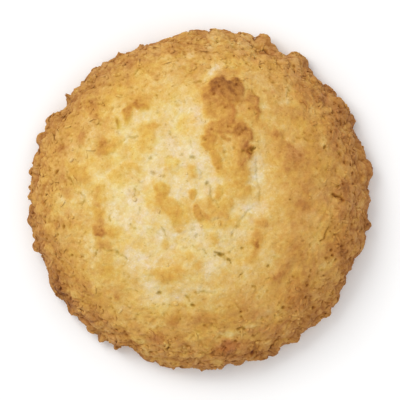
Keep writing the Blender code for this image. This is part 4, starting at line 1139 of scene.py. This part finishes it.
# painted shade in the crevices between knobs, crumbs and grains; on the side the crevices are also painted browner and
# redder to go with it
painted_shade_and_blotch = painted_shade_and_blotch + on_top * ((0.02 + 0.08 * side) * gap_knob + (0.035 + 0.045 * side) * gap_crumb) * (0.15 + 1.1 * patchy)
brown += 0.10 * side * gap_knob + 0.05 * side * gap_crumb
warm += side * (0.3 * gap_knob + 0.2 * gap_crumb)
painted_shade_and_blotch = painted_shade_and_blotch + on_top * (0.03 + 0.015 * side) * gap_grain
gold += 0.75 * flakes(swirl + 7.0, 2.4, 96) + (0.80 + 0.3 * outer) * flakes(swirl + 3.0, 1.1, 97)
gold += (0.3 + 1.2 * outer) * noise(P0, 4.6, 98) + (0.1 + 1.1 * outer) * noise(P0, 8.0, 99)
gold -= 0.45 * outer + 0.9 * smooth(0.82, 0.98, R0 / RIM_RADIUS)
warm += 0.62 * P0[:, 0] / RIM_RADIUS - 0.08 * P0[:, 1] / RIM_RADIUS      # redder towards +X, and a little towards -Y
warm += 0.42 * flakes(swirl + 5.0, 1.9, 101) + 0.50 * flakes(swirl + 9.0, 0.9, 102) + 0.25 * noise(P0, 5.0, 103)
# the base, browned by the tray: darker round its edge, blotched and pricked with pits
base_brown = (0.62 + 0.10 * layered(P0, 7.0, 35, 2) + 0.09 * flakes(swirl, 5.2, 36) + 0.07 * flakes(swirl, 2.8, 37)
              + 0.16 * smooth(0.62, 1.0, R0 / FOOT_RADIUS) - 0.15 * hollow_base)
base_dark = 0.30 * smooth(0.42, 0.72, noise(P0, 2.6, 38)) + 0.16 * (1.0 - smooth(0.0, 0.09, np.abs(noise(P0, 6.5, 39))))
brown = np.where(under, base_brown, brown)
painted_shade_and_blotch = np.where(under, base_dark, painted_shade_and_blotch)
warm = np.where(under, 0.3 + 0.5 * flakes(swirl + 4.0, 4.0, 40), warm)
gold = np.where(under, 0.5 * flakes(swirl + 6.0, 3.6, 41), gold)


# ---- meshes ---------------------------------------------------------------------------
def disc_places():
    """Places in the bake's map: the skin as one disc, the base as a smaller one."""
    k = 0.435 / FOOT_S
    top = np.stack([0.445 + U * k, 0.555 + V * k], 1)
    kb = 0.125 / FOOT_RADIUS
    base = np.stack([0.865 + P0[:, 0] * kb, 0.135 + P0[:, 1] * kb], 1)
    return top, base


def make_mesh(name, points, faces, attributes):
    mesh = bpy.data.meshes.new(name)
    mesh.vertices.add(len(points))
    mesh.vertices.foreach_set("co", (points * MM).astype(np.float32).ravel())
    mesh.loops.add(len(faces) * 3)
    mesh.loops.foreach_set("vertex_index", faces.astype(np.int32).ravel())
    mesh.polygons.add(len(faces))
    mesh.polygons.foreach_set("loop_start", np.arange(len(faces), dtype=np.int32) * 3)
    mesh.polygons.foreach_set("use_smooth", np.ones(len(faces), dtype=bool))
    for key, values in attributes.items():
        layer = mesh.attributes.new(key, "FLOAT", "POINT")
        layer.data.foreach_set("value", values.astype(np.float32))
    mesh.update(calc_edges=True)
    mesh.validate()
    return mesh


crust_mesh = make_mesh("macaroon_crust", P + np.array([0, 0, BASE_Z]), triangles,
                       {"brown": brown, "painted_shade_and_blotch": painted_shade_and_blotch, "warm": warm, "gold": gold})
top_uv, base_uv = disc_places()
corner_vertex = triangles.ravel()
face_under = (S[triangles].max(1) > FOOT_S + 1e-6)
corner_under = np.repeat(face_under, 3)
uv = np.where(corner_under[:, None], base_uv[corner_vertex], top_uv[corner_vertex])
layer = crust_mesh.uv_layers.new(name="OFBake")
layer.data.foreach_set("uv", uv.astype(np.float32).ravel())
crust = bpy.data.objects.new("macaroon_crust", crust_mesh)
bpy.context.scene.collection.objects.link(crust)


# ---- loose bits: shreds of coconut and crumbs that stick to the crust -----------------------
def skin_normals(points, faces):
    """Unit normals of a mesh at its points."""
    a, b, c = (points[faces[:, k]] for k in range(3))
    across = np.cross(b - a, c - a)
    out = np.stack([np.bincount(faces.ravel(), np.repeat(across[:, k], 3), len(points))
                    for k in range(3)], 1)
    return out / np.maximum(np.linalg.norm(out, axis=1), 1e-12)[:, None]


def unit(v):
    return v / np.maximum(np.linalg.norm(v, axis=-1, keepdims=True), 1e-12)


OUTWARD = unit(0.35 * skin_normals(P, triangles) + 0.65 * skin_normals(P0, triangles))
shown = np.nonzero(on_top & (P[:, 2] > 0.9))[0]
skin_tree = kdtree.KDTree(len(shown))
for i in shown:
    skin_tree.insert(P[i], int(i))
skin_tree.balance()


def on_skin(place):
    """Nearest skin point and the place dropped on to its tangent plane."""
    i = skin_tree.find(place)[1]
    return i, place + OUTWARD[i] * float(np.dot(P[i] - place, OUTWARD[i]))


def held_in(points):
    """Keeps points within the outline and above the base."""
    r = np.hypot(points[:, 0], points[:, 1])
    most_out = rim_outline(np.degrees(np.arctan2(points[:, 1], points[:, 0])) % 360.0) + 0.12
    k = np.minimum(1.0, most_out / np.maximum(r, 1e-6))
    points[:, 0] *= k
    points[:, 1] *= k
    points[:, 2] = np.maximum(points[:, 2], 0.15)
    return points


def shred(start, rng, spine=8, around_it=6):
    """A curved tapered strip of coconut, most of its length sunk in the crust."""
    normal = OUTWARD[start]
    side_on = unit(np.cross(normal, rng.normal(size=3)))
    other = np.cross(normal, side_on)
    length = rng.uniform(1.2, 2.6)
    wide = rng.uniform(0.24, 0.42)
    thick = rng.uniform(0.11, 0.18)
    bend = rng.uniform(-0.35, 0.35) * length
    up = rng.uniform(0.1, 0.3) if rng.random() < 0.2 else 0.0
    twist, roll = rng.uniform(-0.7, 0.7), rng.uniform(-0.5, 0.5)
    steps = np.linspace(-1.0, 1.0, spine)
    places, normals, skins = [], [], []
    for t in steps:
        place = P[start] + side_on * (0.5 * length * t) + other * (bend * (t * t - 0.3) * 0.5)
        i, place = on_skin(place)
        skins.append(i)
        places.append(place)
        normals.append(OUTWARD[i])
    places, normals = np.array(places), np.array(normals)
    for go in range(2):
        places[1:-1] = 0.25 * places[:-2] + 0.5 * places[1:-1] + 0.25 * places[2:]
        normals[1:-1] = 0.25 * normals[:-2] + 0.5 * normals[1:-1] + 0.25 * normals[2:]
    normals = unit(normals)
    proud = -0.9 * thick + 1.25 * thick * (1.0 - steps ** 4) + up * np.clip(steps, 0, 1) ** 2
    places = places + normals * proud[:, None]
    along = unit(np.gradient(places, axis=0))
    flat = unit(np.cross(along, normals))
    high_way = np.cross(flat, along)
    taper = 0.25 + 0.75 * np.sqrt(np.clip(1.0 - np.abs(steps) ** 2.6, 0.0, 1.0))
    ring = np.arange(around_it) * 2 * math.pi / around_it
    points = []
    for k in range(spine):
        turned = roll + twist * steps[k]
        for q in ring:
            x, y = wide * taper[k] * math.cos(q), thick * taper[k] * math.sin(q)
            points.append(places[k] + flat[k] * (x * math.cos(turned) - y * math.sin(turned))
                          + high_way[k] * (x * math.sin(turned) + y * math.cos(turned)))
    points.append(places[0] - along[0] * wide * 0.25)
    points.append(places[-1] + along[-1] * wide * 0.25)
    faces = []
    for k in range(spine - 1):
        for q in range(around_it):
            a, b = k * around_it + q, k * around_it + (q + 1) % around_it
            c, d = a + around_it, b + around_it
            faces += [(a, b, d), (a, d, c)]
    first, last = spine * around_it, spine * around_it + 1
    for q in range(around_it):
        faces.append((first, (q + 1) % around_it, q))
        k = (spine - 1) * around_it
        faces.append((last, k + q, k + (q + 1) % around_it))
    own = [skins[k] for k in range(spine) for q in ring] + [skins[0], skins[-1]]
    return np.array(points), np.array(faces), own


ball = bmesh.new()
bmesh.ops.create_icosphere(ball, subdivisions=2, radius=1.0)
BALL_POINTS = np.array([v.co[:] for v in ball.verts])
BALL_FACES = np.array([[v.index for v in f.verts] for f in ball.faces])
ball.free()


def crumb_of(start, rng):
    """A small uneven lump, half sunk in the crust."""
    normal = OUTWARD[start]
    side_on = unit(np.cross(normal, rng.normal(size=3)))
    other = np.cross(normal, side_on)
    radius = rng.uniform(0.16, 0.34) + 0.16 * rng.random() ** 3
    local = BALL_POINTS * np.array([rng.uniform(0.9, 1.5), rng.uniform(0.8, 1.1), rng.uniform(0.6, 0.85)])
    local = local * (1.0 + 0.22 * noise(BALL_POINTS * 1.0 + rng.uniform(-50, 50, 3), 0.9, 131))[:, None]
    points = (P[start] + normal * radius * rng.uniform(0.0, 0.35)
              + radius * (local[:, :1] * side_on + local[:, 1:2] * other + local[:, 2:] * normal))
    return points, BALL_FACES, [start] * len(BALL_POINTS)


def scatter(name, count, make, rng, middle_share, tint):
    """One mesh of many bits, closer together towards the rim and on the side."""
    points, faces, own, tone = [], [], [], []
    total = 0
    while len(points) < count:
        start = int(shown[rng.integers(len(shown))])
        far = float(smooth(0.66, 0.97, R0[start] / RIM_RADIUS))
        if rng.random() > middle_share + (1.0 - middle_share) * far:
            continue
        bit, bit_faces, skins = make(start, rng)
        points.append(held_in(bit))
        faces.append(bit_faces + total)
        total += len(bit)
        own += skins
        tone += [rng.uniform(*tint) * (0.45 + 0.55 * far)] * len(bit)
    own = np.array(own)
    points, faces = np.concatenate(points), np.concatenate(faces)
    # the bits keep a little of the painted shade of the crust under them
    return make_mesh(name, points + np.array([0, 0, BASE_Z]), faces,
                     {"brown": brown[own] + np.array(tone), "painted_shade_and_blotch": np.minimum(painted_shade_and_blotch[own], 0.12) * 0.5,
                      "warm": warm[own], "gold": gold[own]})


rng = np.random.default_rng(33)
shreds_mesh = scatter("coconut_shreds", 230, shred, rng, 0.0, (-0.06, 0.09))
crumbs_mesh = scatter("crust_crumbs", 560, crumb_of, rng, 0.05, (-0.05, 0.09))
for mesh in (crust_mesh, shreds_mesh, crumbs_mesh):
    print(mesh.name, len(mesh.polygons), "triangles")

# ---- materials ------------------------------------------------------------------------
def linear(r, g, b):
    """An sRGB colour, 0 to 255, as the linear values that nodes hold."""
    out = []
    for c in (r, g, b):
        c /= 255.0
        out.append(c / 12.92 if c <= 0.04045 else ((c + 0.055) / 1.055) ** 2.4)
    return out


EXPOSURE = 1.20          # how much brighter than its own colour a level face looks
BAKED = (                # from hardly baked to nearly burnt
    (0.00, (240, 225, 188)), (0.10, (236, 213, 164)), (0.20, (232, 203, 140)),
    (0.30, (228, 191, 115)), (0.40, (222, 178, 94)), (0.50, (215, 164, 80)),
    (0.60, (205, 151, 72)), (0.70, (193, 135, 62)), (0.80, (177, 119, 50)),
    (0.90, (156, 99, 37)), (1.00, (130, 76, 22)),
)


class Graph:
    """A short way to write node trees."""

    def __init__(self, name):
        self.material = bpy.data.materials.new(name)
        self.material.use_nodes = True
        self.tree = self.material.node_tree
        self.shader = self.tree.nodes["Principled BSDF"]

    def put(self, kind, **settings):
        node = self.tree.nodes.new(kind)
        for key, value in settings.items():
            setattr(node, key, value)
        return node

    def join(self, source, socket):
        self.tree.links.new(source, socket)

    def give(self, socket, value):
        if isinstance(value, (int, float, tuple, list)):
            socket.default_value = value
        else:
            self.join(value, socket)

    def math(self, op, a, b=0.0, c=0.0, clamp=False):
        node = self.put("ShaderNodeMath", operation=op, use_clamp=clamp)
        for socket, value in zip(node.inputs, (a, b, c)):
            self.give(socket, value)
        return node.outputs[0]

    def attribute(self, name):
        return self.put("ShaderNodeAttribute", attribute_name=name).outputs["Fac"]

    def millimetres(self):
        place = self.put("ShaderNodeTexCoord").outputs["Object"]
        scale = self.put("ShaderNodeVectorMath", operation="SCALE")
        self.join(place, scale.inputs[0])
        scale.inputs["Scale"].default_value = 1000.0
        return scale.outputs[0]

    def noise(self, place, size, detail=2.0, rough=0.5, shift=0.0):
        if shift:
            move = self.put("ShaderNodeVectorMath", operation="ADD")
            self.join(place, move.inputs[0])
            move.inputs[1].default_value = (shift, 1.7 * shift, -0.6 * shift)
            place = move.outputs[0]
        node = self.put("ShaderNodeTexNoise")
        self.join(place, node.inputs["Vector"])
        node.inputs["Scale"].default_value = 1.0 / size
        node.inputs["Detail"].default_value = detail
        node.inputs["Roughness"].default_value = rough
        return node.outputs["Fac"]

    def voronoi(self, place, size, feature="F1", shift=0.0):
        if shift:
            move = self.put("ShaderNodeVectorMath", operation="ADD")
            self.join(place, move.inputs[0])
            move.inputs[1].default_value = (shift, -shift, 0.7 * shift)
            place = move.outputs[0]
        node = self.put("ShaderNodeTexVoronoi", feature=feature)
        self.join(place, node.inputs["Vector"])
        node.inputs["Scale"].default_value = 1.0 / size
        return node

    def between(self, value, low, high, to_low=0.0, to_high=1.0):
        node = self.put("ShaderNodeMapRange", interpolation_type="SMOOTHSTEP")
        self.give(node.inputs["Value"], value)
        node.inputs["From Min"].default_value = low
        node.inputs["From Max"].default_value = high
        node.inputs["To Min"].default_value = to_low
        node.inputs["To Max"].default_value = to_high
        return node.outputs[0]

    def mix(self, factor, a, b, blend="MIX"):
        node = self.put("ShaderNodeMix", data_type="RGBA", blend_type=blend)
        self.give(node.inputs["Factor"], factor)
        sockets = [s for s in node.inputs if s.type == "RGBA"]
        self.give(sockets[0], a)
        self.give(sockets[1], b)
        return [s for s in node.outputs if s.type == "RGBA"][0]

    def ramp(self, value, stops):
        node = self.put("ShaderNodeValToRGB")
        self.join(value, node.inputs[0])
        ramp = node.color_ramp
        while len(ramp.elements) < len(stops):
            ramp.elements.new(0.5)
        for element, (place, colour) in zip(ramp.elements, stops):
            element.position = place
            element.color = [c / EXPOSURE for c in linear(*colour)] + [1.0]
        return node.outputs["Color"]

    def shaded(self, colour, tone, painted_shade_and_blotch, warm, gold):
        """Darkens by the painted shade and the base's blotches, blue first and red last, and turns the hue a little."""
        split = self.put("ShaderNodeSeparateColor")
        self.join(colour, split.inputs[0])
        whole = self.put("ShaderNodeCombineColor")
        red_fall = self.math("MULTIPLY_ADD", gold, -0.006, painted_shade_and_blotch)
        green_fall = self.math("MULTIPLY", painted_shade_and_blotch, self.math("MULTIPLY_ADD", tone, 0.6, 1.1))
        blue_fall = self.math("MULTIPLY", painted_shade_and_blotch, self.math("MULTIPLY_ADD", tone, 2.6, 2.0))
        green_fall = self.math("MULTIPLY_ADD", warm, 0.05, green_fall)
        blue_fall = self.math("MULTIPLY_ADD", warm, 0.03, blue_fall)
        green_fall = self.math("MULTIPLY_ADD", gold, -0.004, green_fall)
        blue_fall = self.math("MULTIPLY_ADD", gold, 0.120, blue_fall)
        for k, fall in enumerate((red_fall, green_fall, blue_fall)):
            kept = self.math("EXPONENT", self.math("MULTIPLY", fall, -1.0))
            self.join(self.math("MULTIPLY", split.outputs[k], kept), whole.inputs[k])
        return whole.outputs[0]


def crust_material(name, crust_bump=0.10):
    g = Graph(name)
    mm = g.millimetres()
    brown = g.attribute("brown")
    painted_shade_and_blotch = g.attribute("painted_shade_and_blotch")
    warm = g.attribute("warm")
    broad = g.noise(mm, 1.3, 2.0, 0.6)
    fine = g.noise(mm, 0.36, 3.0, 0.65, 11.0)
    tone = g.math("MULTIPLY_ADD", g.math("SUBTRACT", broad, 0.5), 0.10, brown)
    tone = g.math("MULTIPLY_ADD", g.math("SUBTRACT", fine, 0.5), 0.32, tone)
    pores = g.voronoi(mm, 0.75, "F1", 3.0).outputs["Distance"]
    gate = g.noise(mm, 2.5, 2.0, 0.5, 23.0)
    pore = g.math("MULTIPLY", g.between(pores, 0.22, 0.08), g.between(gate, 0.42, 0.60))
    # fine wandering lines, closer together where it is more baked
    bend = g.math("ABSOLUTE", g.math("SUBTRACT", g.noise(mm, 1.25, 2.5, 0.6, 51.0), 0.5))
    there = g.between(g.noise(mm, 1.7, 1.0, 0.5, 63.0), 0.54, 0.62)
    line = g.math("MULTIPLY", g.between(bend, 0.026, 0.004), there)
    line = g.math("MULTIPLY", line, g.between(brown, 0.25, 0.60, 0.25, 1.0))
    # painted shade in the pores and along the fine lines
    painted_shade_and_blotch = g.math("MULTIPLY_ADD", pore, 0.13, painted_shade_and_blotch)
    painted_shade_and_blotch = g.math("MULTIPLY_ADD", line, 0.10, painted_shade_and_blotch)
    # small pale grains
    grains = g.voronoi(mm, 0.95, "F1", 17.0).outputs["Distance"]
    pale = g.math("MULTIPLY", g.between(grains, 0.24, 0.12), g.between(gate, 0.56, 0.42))
    tone = g.math("MULTIPLY_ADD", pale, -0.09, tone)
    shift = g.math("SUBTRACT", g.math("MULTIPLY", g.noise(mm, 0.8, 2.0, 0.6, 37.0), 3.0), 1.5)
    gold = g.math("MULTIPLY_ADD", shift, 0.7, g.attribute("gold"))
    colour = g.ramp(tone, BAKED)
    g.join(g.shaded(colour, tone, painted_shade_and_blotch, warm, gold), g.shader.inputs["Base Color"])
    rough = g.between(fine, 0.2, 0.8, 0.62, 0.86)
    g.join(rough, g.shader.inputs["Roughness"])
    g.shader.inputs["Specular IOR Level"].default_value = 0.28
    bump = g.put("ShaderNodeBump")
    bump.inputs["Strength"].default_value = 0.8
    bump.inputs["Distance"].default_value = MM
    height = g.math("MULTIPLY", fine, crust_bump)
    height = g.math("MULTIPLY_ADD", pore, -0.08, height)
    height = g.math("MULTIPLY_ADD", line, -0.03, height)
    g.join(height, bump.inputs["Height"])
    g.join(bump.outputs[0], g.shader.inputs["Normal"])
    return g.material


crust_mesh.materials.append(crust_material("baked_coconut_crust"))
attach(crust, "root")
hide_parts(NODE)
for mesh, finish in ((shreds_mesh, "toasted_shreds"), (crumbs_mesh, "toasted_crumbs")):
    mesh.materials.append(crust_material(finish, 0.05))
    bits = bpy.data.objects.new(mesh.name, mesh)
    bpy.context.scene.collection.objects.link(bits)
    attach(bits, "root")


# ---- floor, light and camera -------------------------------------------------------------
def floor_material():
    g = Graph("pale_floor")
    mm = g.millimetres()
    faint = g.noise(mm, 60.0, 2.0)
    g.join(g.mix(faint, [0.88, 0.88, 0.88, 1.0], [0.90, 0.90, 0.90, 1.0]),
           g.shader.inputs["Base Color"])
    g.shader.inputs["Roughness"].default_value = 0.9
    g.shader.inputs["Specular IOR Level"].default_value = 0.1
    return g.material


bpy.ops.mesh.primitive_plane_add(size=6.0, location=(0.0, 0.0, low[2]))
floor = bpy.context.object
floor.name = "floor"
floor.data.materials.append(floor_material())

scene = bpy.context.scene
scene.view_settings.view_transform = "Standard"
scene.view_settings.look = "None"
world = bpy.data.worlds.new("studio")
world.use_nodes = True
world.node_tree.nodes["Background"].inputs["Color"].default_value = (1.0, 1.0, 1.0, 1.0)
world.node_tree.nodes["Background"].inputs["Strength"].default_value = 0.88
scene.world = world

KEY_BEARING, KEY_HEIGHT, KEY_AWAY = math.radians(138.0), math.radians(50.0), 0.75
toward = Vector((math.cos(KEY_BEARING) * math.cos(KEY_HEIGHT),
                 math.sin(KEY_BEARING) * math.cos(KEY_HEIGHT), math.sin(KEY_HEIGHT)))
lamp = bpy.data.lights.new("softbox", "AREA")
lamp.shape = "SQUARE"
lamp.size = 0.42
lamp.energy = 2.8
key = bpy.data.objects.new("softbox", lamp)
key.location = toward * KEY_AWAY
key.rotation_mode = "QUATERNION"
key.rotation_quaternion = toward.to_track_quat("Z", "Y")
key.visible_camera = False
scene.collection.objects.link(key)

VIEW_WIDTH = 0.0814 * ACROSS / 69.8       # what the view spans at the rim, metres
lens = bpy.data.cameras.new("camera")
lens.sensor_width = 36.0
lens.lens = 36.0 * CAMERA_AWAY * MM / VIEW_WIDTH
lens.clip_start, lens.clip_end = 0.01, 20.0
camera = bpy.data.objects.new("camera", lens)
camera.location = (0.0, 0.0, (CAMERA_AWAY + BASE_Z + RIM_LEVEL) * MM)
scene.collection.objects.link(camera)
scene.camera = camera
